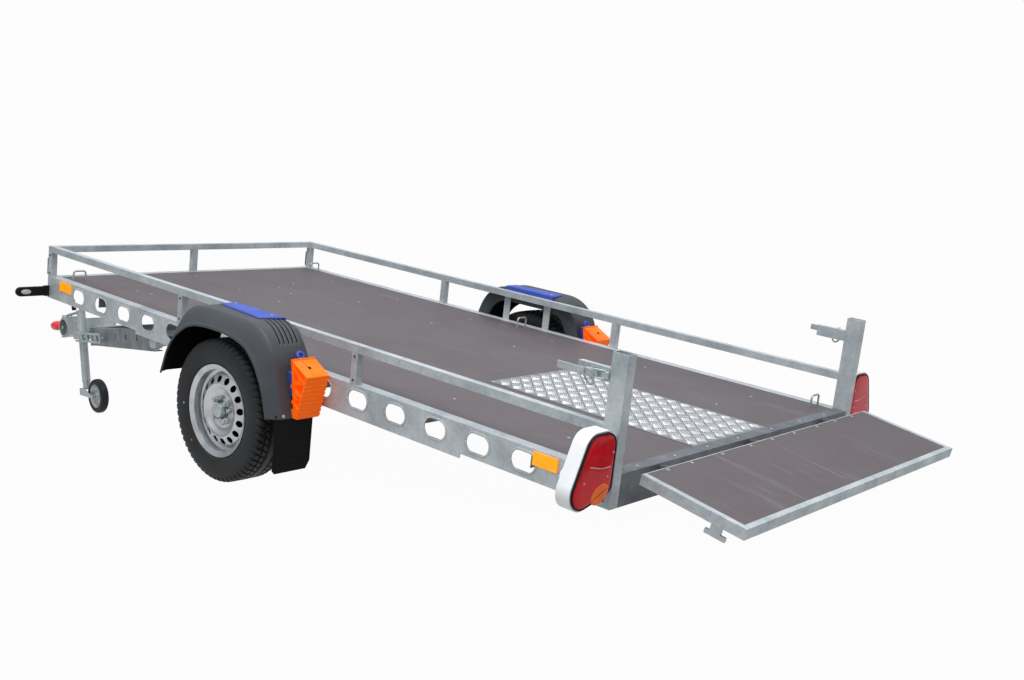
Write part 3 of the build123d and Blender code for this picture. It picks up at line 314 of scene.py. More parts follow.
def new_group(name, inputs, outputs):
    """An empty node group with named sockets; inputs give kind and default."""
    g = bpy.data.node_groups.new(name, "ShaderNodeTree")
    for label, kind, value in inputs:
        s = g.interface.new_socket(label, in_out="INPUT", socket_type="NodeSocket" + kind)
        s.default_value = value
    for label, kind in outputs:
        g.interface.new_socket(label, in_out="OUTPUT", socket_type="NodeSocket" + kind)
    return g, g.nodes.new("NodeGroupInput"), g.nodes.new("NodeGroupOutput")


def mix_color(tree, factor, a, b, blend="MIX"):
    """Colour mix node with its result socket returned."""
    return node(tree, "Mix", [(0, factor), (6, a), (7, b)], data_type="RGBA", blend_type=blend).outputs[2]


def noise(tree, vector, scale, detail=2.0, **more):
    """Factor of a noise texture; more holds its other inputs by name."""
    inputs = [("Vector", vector), ("Scale", scale), ("Detail", detail)] + list(more.items())
    return node(tree, "TexNoise", inputs).outputs[0]


def spread(tree, value, low, high, start=0.0, end=1.0):
    """A value between start and end, spread from low to high."""
    return node(tree, "MapRange", [(0, value), (1, start), (2, end), (3, low), (4, high)]).outputs[0]


def maths(tree, operation, a, b):
    """Result of a math node."""
    return node(tree, "Math", [(0, a), (1, b)], operation=operation).outputs[0]


def seen_by(tree, *rays):
    """1 for the kinds of ray that are named, and 0 for the others."""
    path = node(tree, "LightPath").outputs
    seen = path["Is " + rays[0] + " Ray"]
    for ray in rays[1:]:
        seen = maths(tree, "MAXIMUM", seen, path["Is " + ray + " Ray"])
    return seen


def ramp(tree, value, stops):
    """Black to white ramp over positions and greys."""
    n = node(tree, "ValToRGB", [(0, value)])
    while len(n.color_ramp.elements) < len(stops):
        n.color_ramp.elements.new(0.5)
    for e, (pos, grey) in zip(n.color_ramp.elements, stops):
        e.position = pos
        e.color = (grey, grey, grey, 1)
    return n.outputs[0]


def group_spangle():
    """Zinc flakes: cells with their own grey, soft blotches and streaks, and a slight bump."""
    g, gi, go = new_group("zinc_spangle", [("Scale", "Float", 90.0),
                                           ("Light", "Color", (0.62, 0.65, 0.68, 1)),
                                           ("Dark", "Color", (0.33, 0.37, 0.41, 1)),
                                           ("Blotch", "Float", 0.5)],
                          [("Color", "Color"), ("Roughness", "Float"), ("Height", "Float")])
    tc = node(g, "TexCoord").outputs["Object"]
    warp = node(g, "TexNoise", [("Vector", tc), ("Scale", 40.0), ("Detail", 2.0)])
    shifted = node(g, "MixRGB", [(0, 0.012), (1, tc), (2, warp.outputs["Color"])]).outputs[0]
    cells = node(g, "TexVoronoi", [("Vector", shifted), ("Scale", gi.outputs["Scale"])])
    grey = node(g, "SeparateColor", [(0, cells.outputs["Color"])]).outputs[0]
    blotch = noise(g, tc, 7.0, 6.0, Roughness=0.62)
    fine = noise(g, tc, 160.0, 3.0)
    soft = ramp(g, blotch, ((0.32, 0.0), (0.68, 1.0)))
    flake = spread(g, grey, 0.25, 0.75)
    factor = node(g, "Mix", [(0, gi.outputs["Blotch"]), (2, flake), (3, soft)], data_type="FLOAT").outputs[0]
    go_color = mix_color(g, factor, gi.outputs["Light"], gi.outputs["Dark"])
    rough = spread(g, factor, 0.36, 0.56)
    height = maths(g, "ADD", fine, grey)
    g.links.new(go_color, go.inputs["Color"])
    g.links.new(rough, go.inputs["Roughness"])
    g.links.new(height, go.inputs["Height"])
    return g


def group_worn():
    """Colour variation of moulded pieces: broad tone change, dust on upward faces and fine grain."""
    g, gi, go = new_group("moulded_wear", [("Base", "Color", (0.1, 0.1, 0.1, 1)),
                                           ("Dust", "Color", (0.45, 0.43, 0.40, 1)), ("Amount", "Float", 0.2),
                                           ("Grain", "Float", 900.0)],
                          [("Color", "Color"), ("Roughness", "Float"), ("Height", "Float")])
    tc = node(g, "TexCoord").outputs["Object"]
    broad = noise(g, tc, 9.0, 7.0, Roughness=0.65)
    grain = noise(g, tc, gi.outputs["Grain"], 2.0)
    up = node(g, "SeparateXYZ", [(0, node(g, "NewGeometry").outputs["Normal"])]).outputs[2]
    face = spread(g, up, 0.25, 1.0, 0.1, 1.0)
    cloud = ramp(g, broad, ((0.40, 0.0), (0.72, 1.0)))
    amount = maths(g, "MULTIPLY", cloud, face)
    dusty = maths(g, "MULTIPLY", amount, gi.outputs["Amount"])
    tone = spread(g, grain, 0.82, 1.12, 0.3, 0.7)
    grey = node(g, "CombineXYZ", [(0, tone), (1, tone), (2, tone)]).outputs[0]
    toned = mix_color(g, 1.0, gi.outputs["Base"], grey, "MULTIPLY")
    g.links.new(mix_color(g, dusty, toned, gi.outputs["Dust"]), go.inputs["Color"])
    rough = spread(g, dusty, 0.0, 0.25, 0.0, 0.4)
    g.links.new(rough, go.inputs["Roughness"])
    g.links.new(grain, go.inputs["Height"])
    return g


def shader(name, **values):
    """A new material with its Principled shader; values are its constant inputs."""
    m = bpy.data.materials.new("look_" + name)
    m.use_nodes = True
    t = m.node_tree
    bsdf = next(n for n in t.nodes if n.type == "BSDF_PRINCIPLED")
    for key, value in values.items():
        bsdf.inputs[key.replace("_", " ")].default_value = value
    return m, t, bsdf


def bump(tree, bsdf, height, strength, distance, rounding=0.0):
    """Bump from a height, over softly rounded edges."""
    inputs = [("Height", height), ("Strength", strength), ("Distance", distance)]
    if rounding:
        inputs.append(("Normal", node(tree, "Bevel", [("Radius", rounding)], samples=6).outputs[0]))
    tree.links.new(node(tree, "Bump", inputs).outputs[0], bsdf.inputs["Normal"])


def zinc_material(name, light, dark, scale, blotch, lift, strength=0.25, metal=0.25):
    """Galvanised or plated steel from the spangle group."""
    m, t, bsdf = shader(name, Metallic=metal)
    grp = node(t, "Group", [("Scale", scale), ("Light", light), ("Dark", dark), ("Blotch", blotch)],
               node_tree=bpy.data.node_groups["zinc_spangle"])
    t.links.new(grp.outputs["Color"], bsdf.inputs["Base Color"])
    rough = maths(t, "ADD", grp.outputs["Roughness"], lift)
    t.links.new(rough, bsdf.inputs["Roughness"])
    bump(t, bsdf, grp.outputs["Height"], strength, 0.0006, rounding=0.0015)
    return m


def moulded_material(name, base, dust, amount, grain, rough, strength, coat=0.0, distance=0.0004, glow=0.0,
                     shine=0.5):
    """Moulded plastic or rubber from the wear group; glow lifts fluorescent colours."""
    m, t, bsdf = shader(name, Coat_Weight=coat, Emission_Color=base, Emission_Strength=glow,
                        Specular_IOR_Level=shine)
    grp = node(t, "Group", [("Base", base), ("Dust", dust), ("Amount", amount), ("Grain", grain)],
               node_tree=bpy.data.node_groups["moulded_wear"])
    t.links.new(grp.outputs["Color"], bsdf.inputs["Base Color"])
    r = maths(t, "ADD", grp.outputs["Roughness"], rough)
    t.links.new(r, bsdf.inputs["Roughness"])
    bump(t, bsdf, grp.outputs["Height"], strength, distance, rounding=0.0012)
    return m


def board_material(name, rise):
    """Film-faced board: brown film with a fine wire print, cloudy scuffs and pale scratches along the bed."""
    m, t, bsdf = shader(name, Coat_Weight=0.08, Coat_Roughness=0.4)
    tc = node(t, "TexCoord").outputs["Object"]
    local = node(t, "Mapping", [("Vector", tc), ("Rotation", (0, math.radians(rise), 0))]).outputs[0]
    broad = noise(t, local, 1.6, 8.0, Roughness=0.7)
    along = node(t, "Mapping", [("Vector", local), ("Scale", (0.35, 3.2, 1.0))]).outputs[0]
    streak = noise(t, along, 5.0, 9.0, Roughness=0.72)
    thin = node(t, "Mapping", [("Vector", local), ("Scale", (0.5, 26.0, 1.0)),
                               ("Rotation", (0, 0, 0.22))]).outputs[0]
    scratch = noise(t, thin, 4.0, 2.0, Distortion=1.2)
    speck = noise(t, local, 420.0, 2.0)
    color = (0.089, 0.071, 0.077, 1)
    for value, stops, other in (
            (broad, ((0.30, 0.0), (0.72, 1.0)), (0.119, 0.100, 0.109, 1)),
            (streak, ((0.56, 0.0), (0.80, 0.55)), (0.27, 0.25, 0.26, 1)),
            (scratch, ((0.70, 0.0), (0.76, 0.35)), (0.42, 0.41, 0.42, 1)),
            (speck, ((0.42, 0.28), (0.62, 0.0)), (0.055, 0.042, 0.046, 1))):
        color = mix_color(t, ramp(t, value, stops), color, other)
    t.links.new(color, bsdf.inputs["Base Color"])
    t.links.new(spread(t, streak, 0.42, 0.68), bsdf.inputs["Roughness"])
    grid = node(t, "TexVoronoi", [("Vector", local), ("Scale", 330.0)])
    bump(t, bsdf, grid.outputs["Distance"], 0.22, 0.0005, rounding=0.001)
    return m


def lens_material(name, deep, bright, glow=0.0):
    """Clear coloured lens: small prism cells, darker towards grazing angles, under a gloss coat."""
    m, t, bsdf = shader(name, Roughness=0.16, Coat_Weight=0.06, Coat_Roughness=0.06, Emission_Color=bright,
                        Emission_Strength=glow, Specular_IOR_Level=0.14)
    tc = node(t, "TexCoord").outputs["Object"]
    local = node(t, "Mapping", [("Vector", tc), ("Rotation", (0, math.radians(BED_RISE), 0))]).outputs[0]
    cells = node(t, "TexVoronoi", [("Vector", local), ("Scale", 210.0), ("Randomness", 0.0)])
    broad = noise(t, local, 22.0, 3.0)
    facing = node(t, "LayerWeight", [("Blend", 0.35)]).outputs["Facing"]
    tone = mix_color(t, ramp(t, broad, ((0.35, 0.0), (0.68, 1.0))), bright, deep)
    tone = mix_color(t, ramp(t, cells.outputs["Distance"], ((0.1, 0.0), (0.9, 0.45))), tone, deep)
    t.links.new(mix_color(t, facing, tone, deep), bsdf.inputs["Base Color"])
    bump(t, bsdf, cells.outputs["Distance"], 0.10, 0.0006)
    return m


def painted_material(name, color, dark, metallic, rough):
    """Lacquered steel: tone clouds, fine orange peel and dust in the low places."""
    m, t, bsdf = shader(name, Metallic=metallic, Coat_Weight=0.25, Coat_Roughness=0.25)
    tc = node(t, "TexCoord").outputs["Object"]
    broad = noise(t, tc, 16.0, 5.0)
    peel = noise(t, tc, 500.0, 2.0)
    t.links.new(mix_color(t, ramp(t, broad, ((0.45, 0.0), (0.78, 1.0))), color, dark),
                bsdf.inputs["Base Color"])
    t.links.new(spread(t, broad, rough, rough + 0.16), bsdf.inputs["Roughness"])
    bump(t, bsdf, peel, 0.12, 0.0003, rounding=0.0012)
    return m


def build_materials():
    """Every material by name."""
    group_spangle()
    group_worn()
    z = zinc_material
    p = moulded_material
    pale = (0.42, 0.40, 0.37, 1)
    made = (
        z("galvanised", (0.64, 0.67, 0.68, 1), (0.28, 0.33, 0.36, 1), 85.0, 0.62, 0.02),
        # This darker copy of the galvanised look is painted shade, for the axle beam, cross members and drawbar
        # arms.
        z("galvanised_dull", (0.29, 0.31, 0.33, 1), (0.10, 0.125, 0.15, 1), 48.0, 0.55, 0.06),
        # This still darker copy of the galvanised look is painted shade, for the rear beam's web under the deck's
        # edge.
        z("galvanised_dark", (0.20, 0.21, 0.22, 1), (0.065, 0.08, 0.095, 1), 48.0, 0.55, 0.08),
        z("galvanised_band", (0.95, 0.96, 0.97, 1), (0.84, 0.86, 0.88, 1), 60.0, 0.7, 0.0, 0.12, 0.1),
        z("zinc", (0.54, 0.575, 0.58, 1), (0.29, 0.345, 0.355, 1), 120.0, 0.75, -0.06, 0.10, 0.45),
        z("tread_aluminium", (0.31, 0.32, 0.335, 1), (0.20, 0.21, 0.225, 1), 30.0, 0.9, 0.02, 0.08, 0.5),
        z("lug_aluminium", (0.76, 0.77, 0.78, 1), (0.58, 0.59, 0.61, 1), 30.0, 0.9, -0.12, 0.08, 0.6),
        board_material("deck_board", BED_RISE), board_material("ramp_board", RAMP_RISE),
        p("tyre_rubber", (0.016, 0.017, 0.019, 1), pale, 0.10, 700.0, 0.56, 0.3, shine=0.25),
        p("grey_plastic", (0.050, 0.056, 0.064, 1), pale, 0.04, 850.0, 0.50, 0.3, shine=0.35),
        p("black_plastic", (0.007, 0.007, 0.008, 1), pale, 0.012, 600.0, 0.66, 0.3, shine=0.10),
        p("black_rubber", (0.010, 0.010, 0.011, 1), pale, 0.03, 500.0, 0.60, 0.3, shine=0.12),
        # This near-black look is painted shade: it goes on pieces and faces put where there is only shade, behind
        # the wheel vents, inside the fenders and in the fender vents.
        p("dark_gap", (0.003, 0.003, 0.003, 1), (0.02, 0.02, 0.02, 1), 0.4, 300.0, 0.80, 0.2, shine=0.04),
        p("blue_plastic", (0.028, 0.065, 0.40, 1), (0.25, 0.32, 0.62, 1), 0.16, 700.0, 0.46, 0.25),
        # The glow on this orange is painted light: an emission that lifts the chocks above what the lamps give, so
        # their shaded sides look as bright as lit tops.
        p("orange_plastic", (0.95, 0.150, 0.001, 1), (1.0, 0.46, 0.05, 1), 0.22, 500.0, 0.42, 0.2,
          glow=0.28, shine=0.3),
        # The glow on this red is painted light: an emission that brightens the coupling's nose and the tyre's red
        # dots beyond what the lamps give.
        p("red_plastic", (0.80, 0.012, 0.02, 1), (0.85, 0.3, 0.3, 1), 0.15, 500.0, 0.34, 0.2, 0.3,
          glow=0.15),
        painted_material("wheel_silver", (0.52, 0.53, 0.545, 1), (0.36, 0.375, 0.39, 1), 0.85, 0.28),
        painted_material("black_steel", (0.03, 0.03, 0.032, 1), (0.07, 0.07, 0.07, 1), 0.0, 0.42),
        lens_material("red_lens", (0.24, 0.001, 0.004, 1), (0.66, 0.001, 0.014, 1), 0.22),
        lens_material("amber_lens", (0.75, 0.10, 0.0, 1), (0.95, 0.20, 0.005, 1), 0.10),
        # This look is for the side reflectors, which are no lamps: its glow is painted light that makes them shine
        # bright.
        lens_material("side_amber", (1.0, 0.30, 0.0, 1), (1.0, 0.40, 0.015, 1), 0.45),
        lens_material("clear_lens", (0.35, 0.36, 0.38, 1), (0.75, 0.76, 0.78, 1)),
        lens_material("dark_reflector", (0.03, 0.03, 0.035, 1), (0.10, 0.10, 0.11, 1)),
    )
    return {m.name[len("look_"):]: m for m in made}


MATERIALS = {}


def plate(outline, z0, z1, inset=0.0):
    """Extruded outline of x, y points between two heights: prism with y and z swapped."""
    pts, faces = prism(outline, z0, z1, inset=inset)
    return pts[:, (0, 2, 1)], faces


def bell(x):
    """Smooth bump of height 1 and half width 1."""
    return np.where(np.abs(x) < 1, 0.5 + 0.5 * np.cos(np.pi * np.clip(x, -1, 1)), 0.0)


def flat_bell(x):
    """Bump of height 1 with a wide flat top and steep sides."""
    return np.clip(bell(x) * 1.9, 0.0, 1.0)


def step(x, a, b):
    """Smooth step from 0 at a to 1 at b."""
    t = np.clip((x - a) / (b - a), 0, 1)
    return t * t * (3 - 2 * t)


# Builders


def build_tyre(s, word, sign):
    """Road tyre: a closed profile ring, r = profile - tread grooves, out = profile + sidewall ribs.

    Grooves: four round the tyre, and cross cuts where frac(blocks * t + lean * |out|) is small.
    """
    side = [(69.5, 182.2), (73.0, 186.0), (77.5, 194.0), (80.3, 207.0), (82.2, 226.0), (81.6, 244.0),
            (79.8, 256.0), (77.4, 264.0), (73.5, 271.5), (67.5, 277.5), (60.0, 280.2)]
    side = resampled(rounded(side, 4.0, 4), 34)
    crown = np.column_stack((np.linspace(58.0, -58.0, 53), np.full(53, 281.0)))
    crown[:, 1] -= 0.9 * (crown[:, 0] / 60.0) ** 2
    inner = side[::-1] * (-1, 1)
    foot = np.array([(-60.5, 165.6), (0.0, 165.6), (60.5, 165.6)])
    prof = np.vstack((side, crown, inner, foot))
    around = s.tread_blocks * 12
    t = np.arange(around) / around
    out, r = prof[:, 0][None, :], prof[:, 1][None, :]
    a = np.abs(out)
    top = step(r, 254.0, 268.0)
    rings = flat_bell((a - 19.0) / 5.2) + flat_bell((a - 45.0) / 5.0)
    turn = t[:, None] * s.tread_blocks
    saw = (turn + a * 0.011) % 1.0
    shoulder = flat_bell((saw - 0.5) / 0.24) * step(a, 46.0, 50.0)
    saw2 = (turn + 0.35 + out * 0.022) % 1.0
    rib = flat_bell((saw2 - 0.5) / 0.16) * step(a, 21.0, 24.0) * (1 - step(a, 41.0, 45.0))
    saw3 = (turn * 2.0 + out * 0.05) % 1.0
    middle = bell((saw3 - 0.5) / 0.16) * step(a, 8.0, 12.0) * (1 - step(a, 15.0, 18.0))
    depth = np.clip(rings * 9.0 + shoulder * 7.5 + rib * 7.0 + middle * 4.0, 0, 9.0) * top
    band = 1.1 * bell((r - 192.0) / 3.5) + 0.8 * bell((r - 212.0) / 2.0) + 0.8 * bell((r - 240.0) / 2.0)
    ribs = 0.45 * bell(((t[:, None] * s.tread_blocks * 2) % 1.0 - 0.5) / 0.35) * bell((r - 249.0) / 5.0)
    out2 = np.clip(out + np.sign(out) * (band + ribs) * (r < 262), -82.4, 82.4) + 0 * t[:, None]
    r2 = r - depth + 0 * t[:, None]
    ang = t[:, None] * 2 * math.pi
    pts = np.stack((r2 * np.cos(ang), sign * (TRACK + out2), r2 * np.sin(ang)), axis=-1)
    faces = [grid_faces(around, len(prof), wrap_n=True, wrap_m=True, flip=sign < 0)]
    make("tyre_tread_" + word, pts, faces, WHEEL, "tyre_rubber", "wheel_" + word, "tyre_rubber",
         ("tyre_" + word,), smooth=32.0)
    for label, angle, material in (("white", -5.0, "clear_lens"), ("red", -47.7, "red_plastic")):
        a = math.radians(angle)
        place = (210.0 * math.cos(a), sign * (TRACK + 80.9), 210.0 * math.sin(a))
        single("tyre_dot_" + label + "_" + word, WHEEL, material, "wheel_" + word, "tyre_rubber", revolved,
               ((-1.0, 4.6), (0.3, 4.6), (0.35, 1.0)), place, (0, sign, 0), sides=20)


def build_hub_details(s, word, sign):
    """Wheel bolts, grease cap, the dark drum behind the vents and a seam: revolved forms round the axle."""
    parts = Parts()
    axis = (0, sign, 0)
    out = sign * (TRACK + 56.0)
    for k in range(4):
        t = math.radians(45 + 90 * k)
        place = (49.0 * math.cos(t), out, 49.0 * math.sin(t))
        parts.add(revolved, ((-14, 12.5), (-2, 12.5), (0, 9.6), (9, 9.4), (11, 6.5), (11, 1)), place, axis,
                  sides=24)
    cap = ((-2, 29.5), (3, 29.5), (4, 28.2), (24, 27.6), (28.6, 25), (30, 19), (30, 6), (29.4, 1))
    parts.add(revolved, cap, (0, sign * (TRACK + 41.0), 0), axis, sides=40)
    parts.make("hub_details_" + word, WHEEL, "zinc", "wheel_" + word, "galvanised")
    # Both forms below are painted shade: a dark disc that darkens the rim's vents and a black ring that darkens
    # the gap round the cap.
    for name, look, out, sides, profile in (
            ("hub_shade_", "dark_gap", 26.0, 64,
             ((-3.0, 66.0), (0.0, 66.0), (6.0, 96.0), (2.0, 137.0), (-2.0, 137.0), (-1.0, 96.0))),
            ("hub_ring_", "black_steel", 44.0, 48, ((-1.0, 38.0), (1.2, 38.0), (1.2, 30.0), (-1.0, 30.0)))):
        single(name + word, WHEEL, look, "wheel_" + word, "black_steel", revolved, profile,
               (0, sign * (TRACK + out), 0), axis, sides=sides, closed=True)


FENDER_MAIN = ((379, 76), (273, 386), (-273, 386), (-384, 62))
FENDER_EDGE = ((357, 76), (321, 178), (276, 246), (197, 303), (131, 323), (50, 331), (-50, 331), (-131, 323),
               (-202, 303), (-262, 252), (-318, 165), (-354, 62))


def build_fender(s, word, sign):
    """Wheel arch: p(u, v) = (1 - w(v)) * main(u) + w(v) * edge(u) - d(v) * n(u), with y(v) across.

    Five vents are pressed in behind the pad: d grows by a flat bell of (y - yk) within their stretch of u.
    """
    n = 220
    main = resampled(rounded(FENDER_MAIN, 150.0, 24), n)
    edge = resampled(rounded(FENDER_EDGE, 30.0, 5), n)
    tangent = np.gradient(main, axis=0)
    tangent /= np.linalg.norm(tangent, axis=1, keepdims=True)
    normal = np.column_stack((tangent[:, 1], -tangent[:, 0]))
    normal *= np.where(normal[:, 1:] < -0.2, -1, 1)
    flat = [(y, 0.0, 0.0) for y in np.arange(819.0, 936.0, 1.5)]
    fine = [(y, 0.0, 0.0) for y in np.arange(940.0, 972.0, 6.0)]
    bevel = [(y, ((y - 970.0) / 47.0) ** 1.35, 0.0) for y in np.linspace(972.0, 1015.0, 16)]
    skirt = [(813.2, 0, 72.0), (812.6, 0, 40.0), (812.6, 0, 8.0), (814.2, 0, 2.6), (818.0, 0, 0.5)]
    lip = [(1018.5, 1.0, 0.6), (1020.6, 1.0, 2.6), (1021.0, 1.0, 6.0), (1021.0, 1.0, 11.0)]
    rows = skirt + flat + fine + bevel + lip
    y, w, d = np.array(rows).T
    deep = np.zeros((n, len(rows)))
    x_at = main[:, 0][:, None]
    z_at = main[:, 1][:, None]
    window = step(-x_at, 140.0, 146.0) * step(z_at, 314.0, 322.0)
    run = np.clip((-x_at - 140.0) / 150.0, 0, 1)
    # Painted shade in the vents: a near-black strip lies just under the skin in each vent groove, so that the
    # grooves read dark as if shaded.
    vent_shade_strips = Parts()
    for k in range(5):
        centre = 824.0 + 20.0 * k + 22.0 * run ** 1.3
        deep += 4.5 * flat_bell((y[None, :] - centre) / 3.9) * window
        near = np.flatnonzero(window[:, 0] > 0.9)
        across = np.array((-2.5, 2.5))
        base = main[near][:, None] - normal[near][:, None] * 1.9 + 0 * across[None, :, None]
        yy = sign * (centre[near] + across[None, :])
        strip = np.stack((base[..., 0] + AXLE_X, yy, base[..., 1] + AXLE_Z), axis=-1).reshape(-1, 3)
        vent_shade_strips.put(strip, [grid_faces(len(near), 2, flip=sign > 0)])
    total = d[None, :] + deep
    xz = (main[:, None] * (1 - w)[None, :, None] + edge[:, None] * w[None, :, None]
          - normal[:, None] * total[..., None])
    pts = np.stack((xz[..., 0] + AXLE_X, np.broadcast_to(sign * y, xz.shape[:2]), xz[..., 1] + AXLE_Z),
                   axis=-1)
    obj = make("fender_skin_" + word, pts, [grid_faces(n, len(rows), flip=sign > 0)], BED, "grey_plastic",
               "bed", "grey_plastic", ("fender_" + word,), smooth=50.0)
    # The skin's inner faces and rims get the near-black painted shade look, standing in for the shade under the
    # arch.
    thicken(obj, s.fender_wall).material_offset = 1
    obj.data.materials.append(MATERIALS["dark_gap"])
    slots = vent_shade_strips.make("fender_vents_" + word, BED, "dark_gap", "bed", "black_rubber", smooth=0)
    thicken(slots, 0.8)


def build_pads(s):
    """Fender pads: a plate with rounded corners and a raised border, and a skirt over the inner edge."""
    parts = Parts()
    top = 386.0 + AXLE_Z
    corners = np.array([(-150.0, 811.0), (157.0, 811.0), (157.0, 894.0), (-134.0, 921.0), (-166.0, 811.0)])
    corners[:, 0] += AXLE_X
    for grow, z0, z1 in ((0.0, top + 0.3, top + 3.2), (7.0, top + 3.1, top + 4.4)):
        moved = corners + (np.array(((0, 1), (-1, 1), (-1, -1), (1, -1), (1, 1))) * grow)
        outline = rounded(np.vstack((moved, moved[:1])), 10.0, 6)[:-1]
        parts.add(plate, outline, z0, z1, inset=0.8)
    parts.box((AXLE_X - 158.0, AXLE_X + 150.0), (809.4, 811.6), (top - 24.0, top + 2.6), 0.6)
    parts.make("pad_plates", BED, "blue_plastic", "bed", "blue_plastic", ("fender_pads",), mirror=True)
    screws = Parts()
    screws.bolts([(AXLE_X + 127.6, 839, top + 4.4), (AXLE_X - 117.8, 847, top + 4.4)], (0, 0, 1), 5.0, 3.0,
                 12)
    screws.make("pad_screws", BED, "zinc", "bed", "zinc", mirror=True)


def build_mudflaps(s):
    """Rubber flaps: a flat outline with cut lower corners, a raised border and field, and their screws."""
    parts = Parts()
    x = AXLE_X - 370.0
    outline = [(820.5, 76), (820.5, -118), (838, -149), (982, -149), (994, -136), (994, 76)]
    pts, faces = prism(outline, 0.0, 4.0, inset=0.6)
    pts = np.column_stack((x - 2.0 + pts[:, 1], pts[:, 0], pts[:, 2] + AXLE_Z))
    parts.put(pts, outward(pts, faces))
    for ya, yb, za, zb in ((860, 958, -96, -94), (860, 958, -122, -120), (860, 862, -122, -94),
                           (956, 958, -122, -94), (828, 830, -116, 60), (985, 987, -130, 60)):
        parts.box((x - 2.8, x - 1.9), (ya, yb), (AXLE_Z + za, AXLE_Z + zb), 0.3)
    parts.make("flap_rubber", BED, "black_plastic", "bed", "black_plastic", ("mudflaps",), mirror=True)
    screws = Parts()
    screws.bolts([(x - 12.5, 968, AXLE_Z + 74)], (-1, 0, 0.34), 6.5, 4.0, 16)
    screws.make("flap_screws", BED, "zinc", "bed", "zinc", mirror=True)


def build_chocks(s):
    """Wheel chocks: top, ribbed and inner walls, slanted webs and a middle wall, with their blue holders.

    The ribbed wall steps out by a saw: each of its ribs leaves the line by rib_depth and comes back.
    """
    parts = Parts()
    ax, az = AXLE_X, AXLE_Z
    ti, to, bo, bi = (-352.0, 279.0), (-446.0, 233.0), (-406.0, 62.0), (-390.0, 62.0)
    y0, y1 = 822.0, 927.0

    def slab(a, b, w, ya=y0, yb=y1):
        a, b = np.array(a), np.array(b)
        d = (b - a) / np.linalg.norm(b - a)
        n = np.array((-d[1], d[0])) * w
        outline = [p + (ax, az) for p in (a, b, b + n, a + n)]
        parts.add(prism, outline, ya, yb, inset=0.6)

    slab(ti, to, 5.0)
    slab(bi, ti, 9.0)
    slab((-384.0, 96.0), (-388.0, 64.0), 12.0, y1 - 8.0, y1)
    count = s.chock_ribs
    k = np.arange(count)
    top, low = np.array(to), np.array(bo)
    d = (low - top) / np.linalg.norm(low - top)
    n = np.array((d[1], -d[0]))
    run = np.linalg.norm(low - top) / count
    a = top + d * run * k[:, None]
    b = top + d * run * (k[:, None] + 0.12) + n * s.rib_depth
    c = top + d * run * (k[:, None] + 0.62) + n * s.rib_depth
    e = top + d * run * (k[:, None] + 0.74)
    saw = np.stack((a, b, c, e), axis=1).reshape(-1, 2)
    back = np.array([low - n * 4.0, top - n * 4.0])
    parts.add(prism, np.vstack((saw, low[None], back)) + (ax, az), y0, y1, inset=0.5)
    for a, b, w in (((-357.0, 268.0), (-431.0, 200.0), 8.0), ((-436.0, 204.0), (-370.0, 182.0), 15.0),
                    ((-366.0, 190.0), (-420.0, 146.0), 13.0), ((-424.0, 146.0), (-380.0, 126.0), 15.0),
                    ((-376.0, 132.0), (-412.0, 100.0), 12.0)):
        slab(a, b, w)
    middle = [np.array(p) + (ax, az) for p in (ti, bi, bo, to)]
    parts.add(prism, middle, y0 + 62, y0 + 66)
    parts.make("chock_bodies", BED, "orange_plastic", "bed", "orange_plastic", ("wheel_chocks",), mirror=True)
    mid = (np.array(ti) * 0.45 + np.array(to) * 0.55) + (ax, az)
    up = np.array((-0.489, 0.872))
    # A flat black disc stands for each hole in the chock's top: painted shade for the hole's dark inside.
    single("chock_holes", BED, "black_rubber", "bed", "black_rubber", revolved,
           ((-1.0, 7.5), (0.35, 7.5), (0.3, 2.0)), (mid[0], 880.0, mid[1] + 0.4), (up[0], 0, up[1]), sides=20,
           mirror=True)
    holder = Parts()

    def wall(z):
        return -(379.0 - (z - 76.0) * 0.342)

    def front(z):
        return -390.0 + 38.0 * (z - 62.0) / 217.0

    for ya, yb, za, zb in ((842.0, 921.0, 140.0, 226.0), (842.0, 892.0, 226.0, 268.0)):
        outline = [(wall(za) - 0.5 + ax, za + az), (wall(zb) - 0.5 + ax, zb + az),
                   (front(zb) + 0.5 + ax, zb + az), (front(za) + 0.5 + ax, za + az)]
        holder.add(prism, outline, ya, yb, inset=0.7)
    holder.add(revolved, ((-4, 19), (3, 19), (4, 17.5), (4, 10), (3, 9), (-4, 9)),
               (-334.0 + ax, 870.0, 284.0 + az), (-0.80, 0, 0.60), sides=32, closed=True)
    holder.make("holder_plates", BED, "blue_plastic", "bed", "blue_plastic", ("chock_holders",), mirror=True)


LAMP_CIRCLES = ((856.0, 96.0, 48.0), (898.0, 92.0, 52.0), (845.0, -20.0, 37.0), (945.0, -28.0, 53.0))


def drop_outline(inset, n=132):
    """Hull of the lamp's circles, moved in: for each direction, the farthest point c + (r - inset) * n."""
    t = np.linspace(0, 2 * math.pi, 720, endpoint=False)
    nrm = np.column_stack((np.cos(t), np.sin(t)))
    c = np.array(LAMP_CIRCLES)
    reach = nrm @ c[:, :2].T + c[:, 2] - inset
    best = c[np.argmax(reach, axis=1)]
    pts = best[:, :2] + nrm * (best[:, 2:] - inset)
    closed = np.vstack((pts, pts[:1]))
    return resampled(closed, n + 1)[:-1]


def lens_form(levels, outline):
    """Stacked rings of an outline: each level is (inset, x), closed at both ends."""
    rings = []
    for inset, x in levels:
        o = outline(inset)
        rings.append(np.column_stack((np.full(len(o), x), o)))
    return np.vstack(rings), capped(len(rings), len(rings[0]))


def ellipse(cy, cz, a, b, tilt, n=48):
    """Function that gives an ellipse of y, z points, moved in."""
    t = np.linspace(0, 2 * math.pi, n, endpoint=False)
    c, s = math.cos(math.radians(tilt)), math.sin(math.radians(tilt))

    def outline(inset):
        u, v = (a - inset) * np.cos(t), (b - inset) * np.sin(t)
        return np.column_stack((cy + u * c - v * s, cz + u * s + v * c))

    return outline


